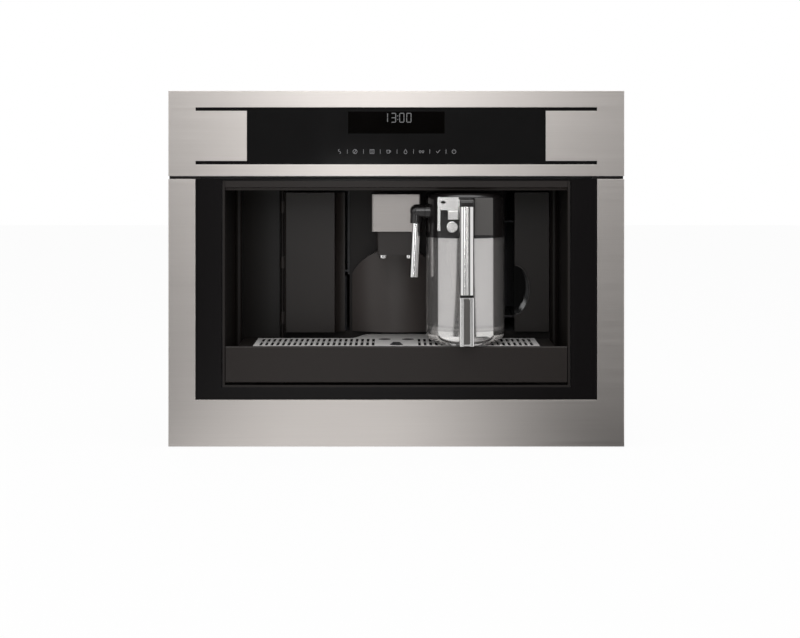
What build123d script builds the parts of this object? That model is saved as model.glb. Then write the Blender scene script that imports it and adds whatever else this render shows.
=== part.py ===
from build123d import *
import os
from math import asin, cos, degrees, radians, sin, sqrt

# Built-in coffee machine, millimetres, +Z up, X to the right, Y into the kitchen unit.
# Every piece is modelled with the steel front in the plane y = 0 and the floor of the niche
# at z = 0. On export it moves along Y, so that the origin lies at the middle of the footprint.
# Heights are counted up from the bottom rail or down from the top of the front, widths out
# from the middle and depths back from the steel, so a changed size takes its neighbours along.

# ---- Clearances ----
seat_gap = 0.3
slide_gap = 0.3
fit_gap = 0.05

# ---- Steel front ----
front_width = 595.0
front_height = 464.0
front_bottom = 2.0
front_depth = 20.0
steel = 1.2
steel_edge_radius = 0.9
stile_width = 35.3
rail_height = 60.8
fascia_height = 111.2
fascia_gap = 3.9
window_side = 102.5
window_low_margin = 15.2
window_high_margin = 21.5
slot_side = 35.5
slot_height = 4.6
glass_thickness = 3.0
glass_margin = 5.0
glass_corner = 3.0
display_width = 126.0
display_height = 28.7
display_under_window_top = 5.5
display_relief = 0.8
board_inset = 25.0
board_low_margin = 4.0
board_high_margin = 2.5
board_gap = 5.0
board_thickness = 1.6
board_corner = 2.0
pad_count = 8
pad_pitch = 21.3
pad_radius = 6.0
pad_height = 16.8
chip_size = 18.0
chip_height = 2.6
chip_low = 26.0
post_radius = 3.0
post_inset = 10.0
post_margin = 6.0

# ---- Gloss frame and cavity ----
bezel_side = 38.2
bezel_recess = 3.0
bezel_thickness = 3.0
bezel_rim = 2.2
bezel_overlap = 1.3
plinth_height = 16.3
lintel_gap = 2.4
lintel_height = 12.4
lintel_drop = 1.9
lintel_lip = 4.0
lintel_shelf = 12.0
cavity_back = 178.0
liner_wall = 3.0
floor_wall = 2.6
pilaster_radius = 5.0
pilaster_setback = 28.0
pilaster_sink = 0.4
cup_light_radius = 9.0
cup_light_rim = 3.0
cup_light_x = 58.0
cup_light_y = 66.0
cup_light_stand = 1.0
cup_light_socket = 6.0

# ---- Fixed panel, service door and column at the back of the cavity ----
panel_wall = 2.5
panel_lift = 2.3
panel_drop = 9.0
panel_gap = 2.0
cover_setback = 13.0
cover_sag = 6.0
cover_crown = 1.0
door_offset = 68.6
door_gap = 9.8
door_setback = 28.0
door_depth = 16.0
door_edge_radius = 14.0
door_corner = 2.0
hinge_inset = 3.8
hinge_rod_radius = 1.8
knuckle_radius = 3.2
knuckle_height = 16.0
knuckle_inset = 12.0
knuckle_gap = 1.2
hinge_arm = 2.4
column_width = 124.0
column_height = 117.5
column_arch = 37.0
column_setback = 28.0
column_bulge = 22.0

# ---- Coffee spout ----
spout_width = 66.0
spout_front = 40.0
spout_depth = 70.0
spout_clearance = 8.0
spout_corner = 3.0
cap_height = 49.8
cap_air = 1.8
lower_height = 31.5
lower_side = 7.0
lower_front = 5.0
lower_back = 6.0
lower_corner = 4.0
lower_taper = 2.0
nozzle_radius = 5.5
nozzle_bore = 3.4
nozzle_spacing = 35.2
nozzle_reach = 5.1
nozzle_insert = 12.0
nozzle_setback = 18.0
nozzle_lip = 1.6
slider_side = 13.0
slider_thickness = 8.0
slider_lap = 4.0
slider_headroom = 6.8
guide_headroom = 12.0

# ---- Drip tray ----
tray_side_gap = 1.0
tray_front_lift = 3.5
tray_front_height = 47.0
tray_front_y = 2.0
tray_front_thickness = 6.0
tray_front_rim = 3.0
tray_front_bevel = 1.2
tray_inset = 15.0
tray_lift = 4.3
tray_setback = 22.0
tray_bulge = 52.0
tray_wall = 2.0
tray_flange = 3.7
tray_deck_drop = 1.0
tray_rib = 2.0
tray_rib_pitch = 60.0
tray_rib_height = 12.0
tray_skid_width = 8.0
tray_skid_inset = 34.0
tray_skid_margin = 10.0
grille_side = 20.0
grille_margin = 4.0
grille_thickness = 2.2
grille_border = 5.0
grille_front_border = 8.0
grille_bar = 4.0
grille_slot_pitch = 7.4
grille_slot_width = 3.6
centre_plate_width = 54.0
bulge_flat = 58.0
bulge_foot = 150.0
finger_x = 15.9
finger_setback = 16.0
finger_half_width = 8.0
finger_half_depth = 6.0
float_radius = 7.0
float_drum_radius = 10.5
float_drum_height = 12.0
float_drop = 0.4
float_gap = 0.5
float_edge = 1.2
float_y = 24.0

# ---- Milk jug ----
jug_gap = 6.5
jug_y = 43.0
jug_radius = 52.0
jug_wall = 2.5
jug_corner = 5.0
foot_radius = 38.0
foot_height = 3.0
foot_hollow = 1.2
foot_rim = 2.0
base_swell_inset = 3.4
base_swell_height = 6.6
jug_shoulder_height = 13.5
jug_base_height = 23.5
jug_headroom = 5.9
lid_height = 58.3
lid_edge_radius = 9.0
lid_spigot = 5.5
lid_hollow = 7.0
lid_land = 12.0
face_left_reach = 38.5
face_right_reach = 34.0
face_lift = 3.0
face_drop = 4.5
face_corner = 4.0
face_y = -14.0
boss_radius = 10.0
boss_reach = 53.5
boss_root = 20.0
spigot_radius = 5.0
spigot_depth = 8.0
steam_drop = 27.1
steam_port_radius = 4.0
steam_socket = 12.0
button_inset = 19.4
button_height = 12.3
button_radius = 7.3
button_travel = 2.0
button_proud = 3.0
pocket_depth = 6.0
thumb_inset = 13.8
thumb_width = 13.7
thumb_low = 21.8
thumb_height = 11.8
thumb_proud = 3.4
thumb_stem_inset = 4.5
thumb_stem_margin = 3.4
regulator_travel = 9.0
plate_thickness = 1.2
plate_margin = 0.5
plate_width = 27.5
plate_leg = 4.0
plate_bar = 16.6
plate_low = 7.2
control_edge = 1.0
plate_eye_x = 8.0
plate_eye_drop = 6.6
plate_eye_half_width = 3.4
plate_eye_half_height = 2.0
handle_offset = 1.2
handle_width = 19.0
handle_back = -33.0
handle_thickness = 14.0
handle_flat = 0.2
handle_groove = 1.7
handle_drop = 11.3
handle_lift = 5.2
handle_lower = 63.8
handle_corner = 3.0
cap_over_handle = 9.2
cap_corner = 4.0
cap_edge = 2.0
arm_height = 14.0
neck_height = 3.5
neck_inset = 2.0
channel_width = 7.7
channel_depth = 5.0
bracket_width = 14.0
bracket_height = 14.0
bracket_corner = 3.0
bracket_foot_width = 11.0
bracket_foot_thickness = 3.0
bracket_foot_drop = 10.0
bracket_foot_corner = 2.0
bracket_lift = 2.0
intake_radius = 4.5
intake_bore = 3.0
intake_top_offset = 21.5
intake_foot_offset = 5.5
intake_foot_shift = 4.0
intake_foot_gap = 6.0
intake_seat = 1.5
milk_spout_reach = 64.5
milk_spout_air = 1.0
milk_spout_drop = 24.1
milk_tube_radius = 6.0
milk_tube_wall = 1.0
milk_tube_length = 87.0
milk_tube_lean = 2.6
elbow_radius = 9.0
elbow_leg = 16.0
tube_insert = 7.0
steam_housing_gap = 3.0
steam_housing_width = 48.0
steam_housing_height = 40.0
steam_housing_taper = 12.0
steam_housing_corner = 6.0
steam_nozzle_plug = 10.0
steam_nozzle_bore = 1.5
steam_nozzle_tail = 6.0
steam_nozzle_nut = 8.0
steam_nozzle_edge = 0.8

# ---- Water tank ----
tank_offset = 58.0
tank_width = 47.5
tank_setforward = 18.0
tank_rear_space = 33.0
tank_headroom = 11.0
tank_wall = 2.2
tank_corner = 7.0
tank_panel_thickness = 3.0
tank_panel_corner = 2.0
tank_panel_lap = 1.0
tank_lid_thickness = 2.5
tank_lid_lip = 3.0
tank_lid_lip_corner = 4.0
tank_mouth_width = 30.0
tank_mouth_length = 60.0
tank_mouth_corner = 8.0
tank_mouth_setback = 60.0
grip_lift = 58.5
grip_height = 34.0
grip_width = 20.0
grip_depth = 26.0
grip_bevel = 2.0
outlet_radius = 6.0
outlet_wall = 2.0
outlet_reach = 9.0
outlet_lift = 14.0
bay_wall = 2.0
bay_floor = 4.2
tank_bay_left_gap = 14.0
tank_bay_right_gap = 2.5
tank_bay_back_gap = 2.0
guide_rib = 2.5
guide_rib_low = 15.5
guide_rib_pitch = 135.0
guide_rib_left_start = 30.0
guide_rib_right_start = 6.0
outlet_socket_wall = 5.0
outlet_socket_depth = 14.0
outlet_socket_floor = 4.0

# ---- Brew unit ----
service_left_gap = 1.0
service_right_gap = 6.2
brew_setback = 70.0
spindle_setback = 44.0
bay_behind_spindle = 40.0
brew_lift = 30.0
chamber_radius = 26.0
chamber_bore = 20.0
chamber_height = 38.0
chamber_floor = 4.0
piston_air = 1.0
piston_nose = 7.0
piston_nose_radius = 12.0
spindle_radius = 4.0
spindle_in_motor = 8.0
spindle_edge = 0.6
nut_radius = 11.0
nut_drop = 8.0
arm_half_width = 12.0
arm_thickness = 14.0
infuser_sheet = 3.0
infuser_gap = 8.0
infuser_share = 0.41
infuser_front_gap = 14.0
infuser_head = 10.0
infuser_edge = 0.5
drop_side = 14.0
drop_front = 4.0
drop_back = 4.0
ledge = 3.0
ledge_front_gap = 12.0
container_side = 4.0
container_front = 6.0
container_back = 22.0
container_wall = 2.0
container_corner = 6.0
container_gap = 5.0
container_lip = 5.0
container_lip_inset = 15.0
container_lip_height = 3.0
brew_motor_size = 44.0
brew_motor_corner = 5.0
brew_motor_case = 18.0
brew_motor_can_radius = 18.0
brew_motor_can = 30.0
brew_motor_edge = 2.0
motor_bore_reach = 1.0

# ---- Grinder, hopper and powder funnel ----
shelf_lift = 2.0
grinder_setback = 58.0
grinder_radius = 44.0
grinder_height = 56.0
grinder_edge = 4.0
burr_radius = 24.0
burr_lift = 18.0
burr_ring_height = 26.0
burr_height = 20.0
burr_gap = 3.0
burr_chamber_lift = 4.0
burr_chamber_drop = 6.0
burr_taper = 24.0
ring_taper = 18.0
flute_count = 12
flute_width = 2.2
flute_depth = 5.0
flute_length = 32.0
flute_inset = 4.5
flute_slant = 20.0
throat_radius = 17.0
throat_lap = 4.0
shaft_radius = 3.0
shaft_drop = 16.0
duct_half_width = 9.0
duct_wall = 3.0
duct_offset = 4.0
duct_low = 12.0
duct_high = 10.0
grinder_motor_radius = 30.0
grinder_motor_length = 78.0
grinder_motor_edge = 3.0
funnel_offset = 4.0
funnel_setback = 28.0
funnel_tube_radius = 12.0
funnel_wall = 1.6
funnel_top_radius = 17.5
funnel_cone_lift = 6.0
funnel_over_chamber = 8.0
funnel_slant = 12.0
funnel_inlet_half = 5.0
hopper_gap = 23.0
hopper_half_width = 77.0
hopper_front_reach = 30.0
hopper_rear_space = 41.0
hopper_wall = 2.0
hopper_corner = 12.0
hopper_foot = 48.0
hopper_rim = 5.0
hopper_rim_height = 2.0
top_lid_height = 2.5
top_lid_margin = 2.0
top_lid_corner = 6.0
top_lid_edge = 0.8
pivot_radius = 1.2
pivot_lift = 2.5
pivot_reach = 3.6
barrel_radius = 2.1
barrel_inset = 12.0
barrel_length = 10.0
ear_radius = 2.0
ear_thickness = 2.0
hinge_web_lift = 0.4
hinge_web_lap = 1.0
flap_left_reach = 32.0
flap_right_reach = 16.0
flap_front_reach = 24.0
flap_back_reach = 26.0
knob_gap = 34.0
knob_setback = 97.0
knob_radius = 15.0
knob_height = 4.4
knob_notch_count = 16
knob_notch_radius = 1.3
knob_mark_width = 2.0
knob_mark_depth = 0.8
knob_mark_inset = 3.0
knob_shaft_radius = 3.0
knob_shaft_length = 24.0

# ---- Boiler, pump and electrics ----
boiler_offset = 63.0
boiler_setback = 84.0
boiler_radius = 34.0
boiler_height = 132.0
boiler_head_radius = 14.0
boiler_flange = 8.0
boiler_flange_height = 6.0
terminal_radius = 3.5
terminal_height = 10.0
terminal_root = 4.0
terminal_x = 14.0
bay_bridge_gap = 12.0
pump_x = -30.0
pump_setback = 122.0
pump_lift = 30.0
coil_half_length = 22.0
coil_half_depth = 20.0
coil_corner = 3.0
core_radius = 10.0
core_half_length = 46.0
neck_radius = 4.0
neck_half_length = 58.0
saddle_x = 36.0
saddle_half_depth = 16.0
saddle_half_thickness = 4.0
saddle_over_axis = 13.0
saddle_corner = 4.0
power_board_left = 50.0
power_board_width = 160.0
power_board_depth = 140.0
power_board_rear_space = 30.0
standoff_height = 8.0
standoff_inset = 8.0
standoff_radius = 3.5
transformer_width = 40.0
transformer_depth = 45.0
transformer_height = 32.4
transformer_left = 12.0
transformer_rear = 10.0
relay_count = 4
relay_width = 14.0
relay_depth = 22.0
relay_height = 16.4
relay_pitch = 20.0
relay_left = 70.0
relay_rear = 11.0
capacitor_count = 3
capacitor_radius = 8.0
capacitor_height = 26.4
capacitor_pitch = 24.0
capacitor_left = 80.0
capacitor_front = 35.0
inlet_x = -200.0
inlet_z = 64.0
inlet_half_width = 18.0
inlet_body_half_width = 15.0
inlet_low = 16.0
inlet_high = 12.0
inlet_body_low = 12.0
inlet_body_high = 9.0
inlet_body_depth = 24.0
inlet_corner = 3.0
inlet_body_corner = 2.0
plug_width = 24.5
plug_height = 17.0
plug_depth = 17.0
plug_key = 4.0
blade_x = 7.0
blade_drop = 1.5
earth_rise = 3.0
blade_thickness = 2.0
blade_height = 4.0
blade_recess = 6.0
rocker_rise = 30.0
rocker_width = 19.0
rocker_height = 13.0
rocker_tilt = 7.0
rocker_axis_depth = 5.0
rocker_pocket = 12.0
rocker_air = 0.4
rocker_trim = 0.6
rocker_nose = 4.2
rocker_dish = 1.4
rocker_tail = 4.0
rocker_tail_taper = 1.5
rocker_pin_radius = 1.5
rocker_pin_lap = 1.0

# ---- Chassis, runners and top ----
niche_width = 560.0
body_back = 385.0
body_drop = 21.0
sheet = 1.2
rear_projection = 2.5
carrier_wall = 3.0
skid_height = 6.0
skid_x = 180.0
skid_half_top = 26.0
skid_half_foot = 18.0
skid_front_gap = 12.0
skid_back_gap = 20.0
pan_side_height = 20.0
drain_radius = 6.0
drain_pitch = 90.0
drain_y = 110.0
side_vent_count = 9
side_vent_pitch = 15.0
side_vent_width = 5.0
side_vent_height = 60.0
side_vent_rear_space = 155.0
side_vent_drop = 40.0
rear_vent_count = 7
rear_vent_pitch = 14.0
rear_vent_width = 90.0
rear_vent_height = 5.0
rear_vent_x = 150.0
rear_vent_drop = 50.0
deck_side_gap = 2.0
deck_front_gap = 3.0
deck_rear_gap = 2.0
inlet_window_side = 24.0
inlet_window_top = 20.0
shelf_lip = 12.0
shelf_hole_gap = 3.0
runner_thickness = 12.7
runner_height = 45.0
runner_centre = 122.5
runner_wall = 1.2
runner_side_gap = 2.7
runner_front_gap = 4.0
runner_rear_gap = 8.0
runner_hole_radius = 2.6
runner_hole_spacing = 256.0

# ---- Worked out: steel front and cavity ----
half_front = front_width / 2
half_opening = half_front - stile_width
half_cavity = half_opening - bezel_side
front_top = front_bottom + front_height
opening_bottom = front_bottom + rail_height
fascia_bottom = front_top - fascia_height
frame_top = fascia_bottom - fascia_gap
half_window = half_front - window_side
window_bottom = fascia_bottom + window_low_margin
window_top = front_top - window_high_margin
half_slot_span = half_front - slot_side
glass_back = steel + glass_thickness
display_top = window_top - display_under_window_top
display_bottom = display_top - display_height
board_front = glass_back + board_gap
board_back = board_front + board_thickness
board_bottom = window_bottom + board_low_margin
board_top = window_top - board_high_margin
pad_z = window_bottom + pad_height
lintel_top = frame_top - lintel_gap
lintel_bottom = lintel_top - lintel_height
cavity_ceiling = lintel_bottom + lintel_drop
plinth_top = opening_bottom + plinth_height
cavity_floor = plinth_top + floor_wall
liner_back = cavity_back + liner_wall
body_top = front_top - body_drop
half_body = niche_width / 2 - runner_thickness
chassis_front = front_depth + carrier_wall
rear_face = body_back + rear_projection
pan_top = skid_height + sheet

# ---- Worked out: drip tray, panels, door and column ----
tray_front_bottom = cavity_floor + tray_front_lift
tray_front_top = tray_front_bottom + tray_front_height
tray_front_back = tray_front_y + tray_front_thickness
half_tray_front = half_cavity - tray_side_gap
half_tray = half_tray_front - tray_inset
half_grille = half_tray - grille_side
half_basin = half_grille - grille_margin
tray_middle_depth = cavity_back - tray_setback
tray_side_depth = tray_middle_depth - tray_bulge
tray_bottom = cavity_floor + tray_lift
tray_deck = tray_front_top - tray_deck_drop
tray_rim = tray_front_top - grille_thickness
basin_inset = 2 * grille_margin
panel_bottom = tray_front_top + panel_lift
panel_top = cavity_ceiling - panel_drop
door_left = -half_cavity + door_offset
door_right = -column_width / 2 - door_gap
door_front = cavity_back - door_setback
door_back = door_front + door_depth
hinge_x = door_left - knuckle_radius
hinge_y = door_front + hinge_inset
cover_left = -half_cavity + 2 * pilaster_radius
cover_right = hinge_x - knuckle_radius - knuckle_gap
cover_depth = cavity_back - cover_setback
column_peak = panel_bottom + column_height
column_shoulder = column_peak - column_arch
column_front = cavity_back - column_setback

# ---- Worked out: spout ----
half_spout = spout_width / 2
half_lower = half_spout - lower_side
half_slider = half_spout - slider_side
spout_back = spout_front + spout_depth
spout_top = cavity_ceiling - spout_clearance
spout_split = spout_top - cap_height
spout_bottom = spout_split - lower_height
nozzle_y = spout_front + nozzle_setback
nozzle_bottom = spout_bottom - nozzle_reach
guide_top = body_top - sheet - guide_headroom
slider_top = guide_top - slider_headroom

# ---- Worked out: milk jug ----
jug_x = half_spout + jug_gap + jug_radius
jug_inner = jug_radius - jug_wall
jug_base = tray_front_top + seat_gap
jug_shoulder = jug_base + jug_shoulder_height
jug_floor = jug_base + jug_base_height
lid_top = cavity_ceiling - jug_headroom
jug_rim = lid_top - lid_height
face_left = jug_x - face_left_reach
face_right = jug_x + face_right_reach
face_bottom = jug_rim + face_lift
face_top = lid_top - face_drop
button_x = face_left + button_inset
button_z = face_bottom + button_height
thumb_left = face_left + thumb_inset
thumb_right = thumb_left + thumb_width
thumb_bottom = face_bottom + thumb_low
thumb_top = thumb_bottom + thumb_height
stem_left = thumb_left + thumb_stem_inset
stem_right = thumb_right - thumb_stem_inset
stem_low = thumb_bottom + thumb_stem_margin
stem_high = thumb_top - thumb_stem_margin
handle_x = jug_x - handle_offset
handle_front = handle_back - handle_thickness
handle_middle = handle_back - handle_thickness / 2
handle_top = face_top - handle_drop
handle_bottom = jug_base + handle_lift
handle_joint = handle_bottom + handle_lower
waist_low = handle_joint - neck_height / 2
waist_high = handle_joint + neck_height / 2
boss_end = jug_x - boss_reach
milk_spout_x = jug_x - milk_spout_reach
milk_spout_y = spout_front - elbow_radius - milk_spout_air
milk_elbow_z = lid_top - milk_spout_drop
steam_port_z = lid_top - steam_drop
steam_housing_front = jug_y + jug_radius + steam_housing_gap

# ---- Worked out: bays, tank and brew unit ----
deck_top = panel_bottom - bay_floor - seat_gap
shelf_top = cavity_ceiling + shelf_lift
shelf_bottom = shelf_top - sheet
tank_bottom = deck_top + bay_floor + seat_gap
tank_top = panel_top - tank_headroom
tank_left = half_cavity - tank_offset
tank_right = tank_left + tank_width
tank_middle = (tank_left + tank_right) / 2
tank_panel_front = cavity_back - tank_setforward
tank_front = tank_panel_front + tank_panel_thickness
tank_back = body_back - tank_rear_space
tank_bay_left = tank_left - tank_bay_left_gap
tank_bay_right = tank_right + tank_bay_right_gap
grip_z = tank_bottom + grip_lift
outlet_z = tank_bottom + outlet_lift
bay_left = door_left - service_left_gap
bay_right = door_right + service_right_gap
brew_x = (bay_left + bay_right) / 2
brew_y = cavity_back + brew_setback
spindle_y = brew_y + spindle_setback
bay_back = spindle_y + bay_behind_spindle
infuser_top = shelf_bottom - seat_gap
infuser_floor = deck_top + infuser_share * (shelf_bottom - deck_top)
infuser_floor_top = infuser_floor + infuser_sheet
chamber_low = infuser_floor + infuser_gap
chamber_high = chamber_low + chamber_height
piston_low = chamber_high + brew_lift + piston_air

# ---- Worked out: grinder, hopper, funnel, boiler and runners ----
funnel_x = brew_x - funnel_offset
funnel_y = cavity_back + funnel_setback
funnel_low = chamber_high + funnel_over_chamber
hopper_left = funnel_x + hopper_gap
hopper_right = hopper_left + 2 * hopper_half_width
hopper_x = (hopper_left + hopper_right) / 2
grinder_x = hopper_x
grinder_y = cavity_back + grinder_setback
hopper_front = grinder_y - hopper_front_reach
hopper_back = body_back - hopper_rear_space
hopper_y = (hopper_front + hopper_back) / 2
hopper_width = hopper_right - hopper_left
hopper_depth = hopper_back - hopper_front
hopper_bottom = shelf_top + grinder_height
burr_low = shelf_top + burr_lift
burr_high = burr_low + burr_ring_height
duct_y = funnel_y + duct_offset
pivot_height = body_top + pivot_lift
flap_left = funnel_x - flap_left_reach
flap_right = funnel_x + flap_right_reach
flap_front = funnel_y - flap_front_reach
flap_back = funnel_y + flap_back_reach
knob_x = hopper_right + knob_gap
knob_y = cavity_back + knob_setback
boiler_x = grinder_x + boiler_offset
boiler_y = cavity_back + boiler_setback
boiler_top = deck_top + boiler_height
pump_y = cavity_back + pump_setback
rocker_z = inlet_z + rocker_rise
rocker_y = rear_face - rocker_axis_depth
rocker_pin_half = rocker_width / 2 + rocker_pin_lap
runner_start = chassis_front + runner_front_gap
runner_end = body_back - runner_rear_gap
runner_middle = (runner_start + runner_end) / 2
runner_holes = (runner_middle - runner_hole_spacing / 2, runner_middle + runner_hole_spacing / 2)
frame_shift = (handle_front + rear_face) / 2


# ---- Small helpers ----
def rect(a0, a1, b0, b1):
    """Rectangle between two limits on each sketch axis."""
    return Pos((a0 + a1) / 2, (b0 + b1) / 2) * Rectangle(a1 - a0, b1 - b0)


def round_rect(a0, a1, b0, b1, radius):
    """Rectangle between limits with rounded corners."""
    return Pos((a0 + a1) / 2, (b0 + b1) / 2) * RectangleRounded(a1 - a0, b1 - b0, radius)


def along_x(sketch, x0, x1):
    """Sketch in (Y, Z), extruded from x0 to x1."""
    return extrude(Plane.YZ.offset(x0) * sketch, amount=x1 - x0)


def along_y(sketch, y0, y1):
    """Sketch in (X, Z), extruded from y0 to y1."""
    return extrude(Plane.XZ.offset(-y0) * sketch, amount=y0 - y1)


def along_z(sketch, z0, z1):
    """Sketch in (X, Y), extruded from z0 to z1."""
    return extrude(Pos(0, 0, z0) * sketch, amount=z1 - z0)


def block(x0, x1, y0, y1, z0, z1):
    """Box between limits."""
    return along_z(rect(x0, x1, y0, y1), z0, z1)


def rod_x(radius, x0, x1, y, z):
    return along_x(Pos(y, z) * Circle(radius), x0, x1)


def rod_y(radius, y0, y1, x, z):
    return along_y(Pos(x, z) * Circle(radius), y0, y1)


def rod_z(radius, z0, z1, x, y):
    return along_z(Pos(x, y) * Circle(radius), z0, z1)


def edges_at(shape, run, side, place):
    """Edges that run along one axis, at the first (0) or last (-1) place on another."""
    return shape.edges().filter_by(run).group_by(side)[place]


def mirrored(shape):
    """The same shape on the other side of the middle plane."""
    return mirror(shape, about=Plane.YZ)


def save(name, shape):
    """Write one named piece in the part's frame."""
    placed = Pos(0, -frame_shift, 0) * shape
    export_step(placed, os.path.join("parts", name + ".step"))


# ---- Steel front ----
def round_outer_edges(skin):
    """Soften both upright outer edges of a folded front."""
    edges = edges_at(skin, Axis.Z, Axis.Y, 0).sort_by(Axis.X)
    return fillet([edges[0], edges[-1]], steel_edge_radius)


def front_frame():
    """U-shaped folded steel frame: two stiles and the wide bottom rail, open at the back."""
    outer = rect(-half_front, half_front, front_bottom, frame_top)
    opening = rect(-half_opening, half_opening, opening_bottom, frame_top)
    pocket = rect(-half_front + steel, half_front - steel, front_bottom + steel, frame_top - steel)
    inner_fold = rect(-half_opening - steel, half_opening + steel, opening_bottom - steel, frame_top)
    skin = along_y(outer - opening, 0, front_depth)
    skin -= along_y(pocket - inner_fold, steel, front_depth)
    return round_outer_edges(skin)


def control_fascia():
    """Steel fascia with the wide glass window and the four narrow slots beside it."""
    outer = rect(-half_front, half_front, fascia_bottom, front_top)
    pocket = rect(-half_front + steel, half_front - steel, fascia_bottom + steel, front_top - steel)
    window = rect(-half_window, half_window, window_bottom, window_top)
    for low in (window_bottom, window_top - slot_height):
        window += rect(-half_slot_span, half_slot_span, low, low + slot_height)
    skin = round_outer_edges(along_y(outer, 0, front_depth))
    skin -= along_y(pocket, steel, front_depth)
    return skin - along_y(window, 0, steel)


def control_glass():
    """Black touch glass behind the fascia; the slots show its upper and lower edges."""
    half_width = half_slot_span + glass_margin
    outline = round_rect(-half_width, half_width, window_bottom - glass_margin, window_top + glass_margin,
                         glass_corner)
    relief = rect(-display_width / 2, display_width / 2, display_bottom, display_top)
    return along_y(outline, steel, glass_back) - along_y(relief, glass_back - display_relief, glass_back)


def control_board():
    """Control board with display cell, touch pads, chips and the posts to the carrier."""
    half_board = half_window - board_inset
    board = along_y(round_rect(-half_board, half_board, board_bottom, board_top, board_corner),
                    board_front, board_back)
    cell = rect(-display_width / 2 + fit_gap, display_width / 2 - fit_gap,
                display_bottom + fit_gap, display_top - fit_gap)
    board += along_y(cell, glass_back - display_relief, board_front)
    for index in range(pad_count):
        pad_x = (index - (pad_count - 1) / 2) * pad_pitch
        board += rod_y(pad_radius, glass_back, board_front, pad_x, pad_z)
    post_x = half_board - post_inset
    for share in (-0.75, -0.375, 0.375, 0.75):
        chip_x = share * post_x
        board += block(chip_x - chip_size / 2, chip_x + chip_size / 2, board_back, board_back + chip_height,
                       board_bottom + chip_low, board_bottom + chip_low + chip_size)
    for share in (-1, -0.5, 0.5, 1):
        for post_z in (board_bottom + post_margin, board_top - post_margin):
            board += rod_y(post_radius, board_back, front_depth, share * post_x, post_z)
    return board


# ---- Cavity frame, liner and fixed panels ----
def front_bezel():
    """Gloss black frame inside the steel: two wide side strips, header and plinth."""
    outer = rect(-half_opening + seat_gap, half_opening - seat_gap, opening_bottom + seat_gap, frame_top)
    side = half_cavity + liner_wall + bezel_overlap
    inner = rect(-side, side, plinth_top, lintel_top)
    face_back = bezel_recess + bezel_thickness
    rim_inner = rect(-half_opening + seat_gap + bezel_rim, half_opening - seat_gap - bezel_rim,
                     opening_bottom + seat_gap + bezel_rim, frame_top - bezel_rim)
    return along_y(outer - inner, bezel_recess, face_back) + along_y(outer - rim_inner, face_back, front_depth)


def lintel_strip():
    """Dark strip over the cavity mouth, with a rounded lower lip and a shelf behind."""
    half_width = half_cavity - seat_gap
    lip_top = lintel_bottom + lintel_lip
    lip_back = bezel_recess + lintel_lip
    shelf_back = lip_back + lintel_shelf
    profile = Line((bezel_recess, lintel_top), (bezel_recess, lip_top))
    profile += RadiusArc((bezel_recess, lip_top), (lip_back, lintel_bottom), lintel_lip)
    profile += Polyline((lip_back, lintel_bottom), (shelf_back, lintel_bottom), (shelf_back, cavity_ceiling),
                        (lip_back, cavity_ceiling), (lip_back, lintel_top), (bezel_recess, lintel_top))
    return along_x(make_face(profile), -half_width, half_width)


def back_openings():
    """Openings through the liner's back wall: service bay and tank bay."""
    service = rect(bay_left, bay_right, panel_bottom - seat_gap, panel_top + panel_gap)
    tank = rect(tank_bay_left, tank_bay_right, tank_bottom - seat_gap, panel_top + panel_gap)
    return service + tank


def cavity_liner():
    """One moulded liner: side walls, floor, ceiling and back, with pilasters, guide and housing."""
    wall_out = half_cavity + liner_wall
    outer = rect(-wall_out, wall_out, plinth_top, cavity_ceiling + liner_wall)
    inner = rect(-half_cavity, half_cavity, cavity_floor, cavity_ceiling)
    liner = along_y(outer - inner, bezel_recess, cavity_back)
    cheek = block(half_cavity, wall_out, bezel_recess, front_depth, cavity_ceiling, lintel_top)
    liner += cheek + mirrored(cheek)
    lip_back = bezel_recess + lintel_lip + lintel_shelf
    liner -= block(-half_cavity, half_cavity, bezel_recess, lip_back, lintel_bottom, lintel_top)
    liner += along_y(outer - back_openings(), cavity_back, liner_back)
    pilaster = rod_z(pilaster_radius, cavity_floor, cavity_ceiling,
                     half_cavity - pilaster_radius + pilaster_sink, cavity_back - pilaster_setback)
    liner += pilaster + mirrored(pilaster)
    liner += spout_guide() + steam_housing()
    liner -= slider_passage()
    liner -= rod_y(steam_port_radius, steam_housing_front, liner_back, jug_x, steam_port_z)
    for light_x in (-cup_light_x, cup_light_x):
        liner -= rod_z(cup_light_radius, cavity_ceiling, cavity_ceiling + liner_wall, light_x, cup_light_y)
    return liner + rod_z(hinge_rod_radius, cavity_floor, cavity_ceiling, hinge_x, hinge_y)


def spout_guide():
    """Guide above the ceiling, moulded on the liner, that the spout's slider runs in."""
    reach = slide_gap + liner_wall
    outer = rect(-half_slider - reach, half_slider + reach, spout_back - reach,
                 spout_back + slider_thickness + reach)
    return along_z(outer, cavity_ceiling, guide_top)


def slider_passage():
    """Space that the slider takes through ceiling and guide, with its clearance."""
    passage = rect(-half_slider - slide_gap, half_slider + slide_gap, spout_back - slide_gap,
                   spout_back + slider_thickness + slide_gap)
    return along_z(passage, cavity_ceiling, guide_top)


def steam_housing():
    """Tapered housing on the back wall that carries the steam nozzle to the jug."""
    sections = []
    for depth, inset in ((cavity_back, 0), (steam_housing_front, steam_housing_taper)):
        section = RectangleRounded(steam_housing_width - inset, steam_housing_height - inset, steam_housing_corner)
        sections.append(Plane.XZ.offset(-depth) * (Pos(jug_x, steam_port_z) * section))
    return loft(sections)


def cup_lights():
    """Two flush lamp lenses in the ceiling that light the cups."""
    lights = Part()
    seat = cavity_ceiling + liner_wall
    for light_x in (-cup_light_x, cup_light_x):
        lens = rod_z(cup_light_radius - fit_gap, cavity_ceiling - cup_light_stand, seat, light_x, cup_light_y)
        lens = chamfer(lens.edges().group_by(Axis.Z)[0], cup_light_stand / 2)
        lights += lens + rod_z(cup_light_radius + cup_light_rim, seat, seat + cup_light_socket, light_x, cup_light_y)
    return lights


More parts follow.
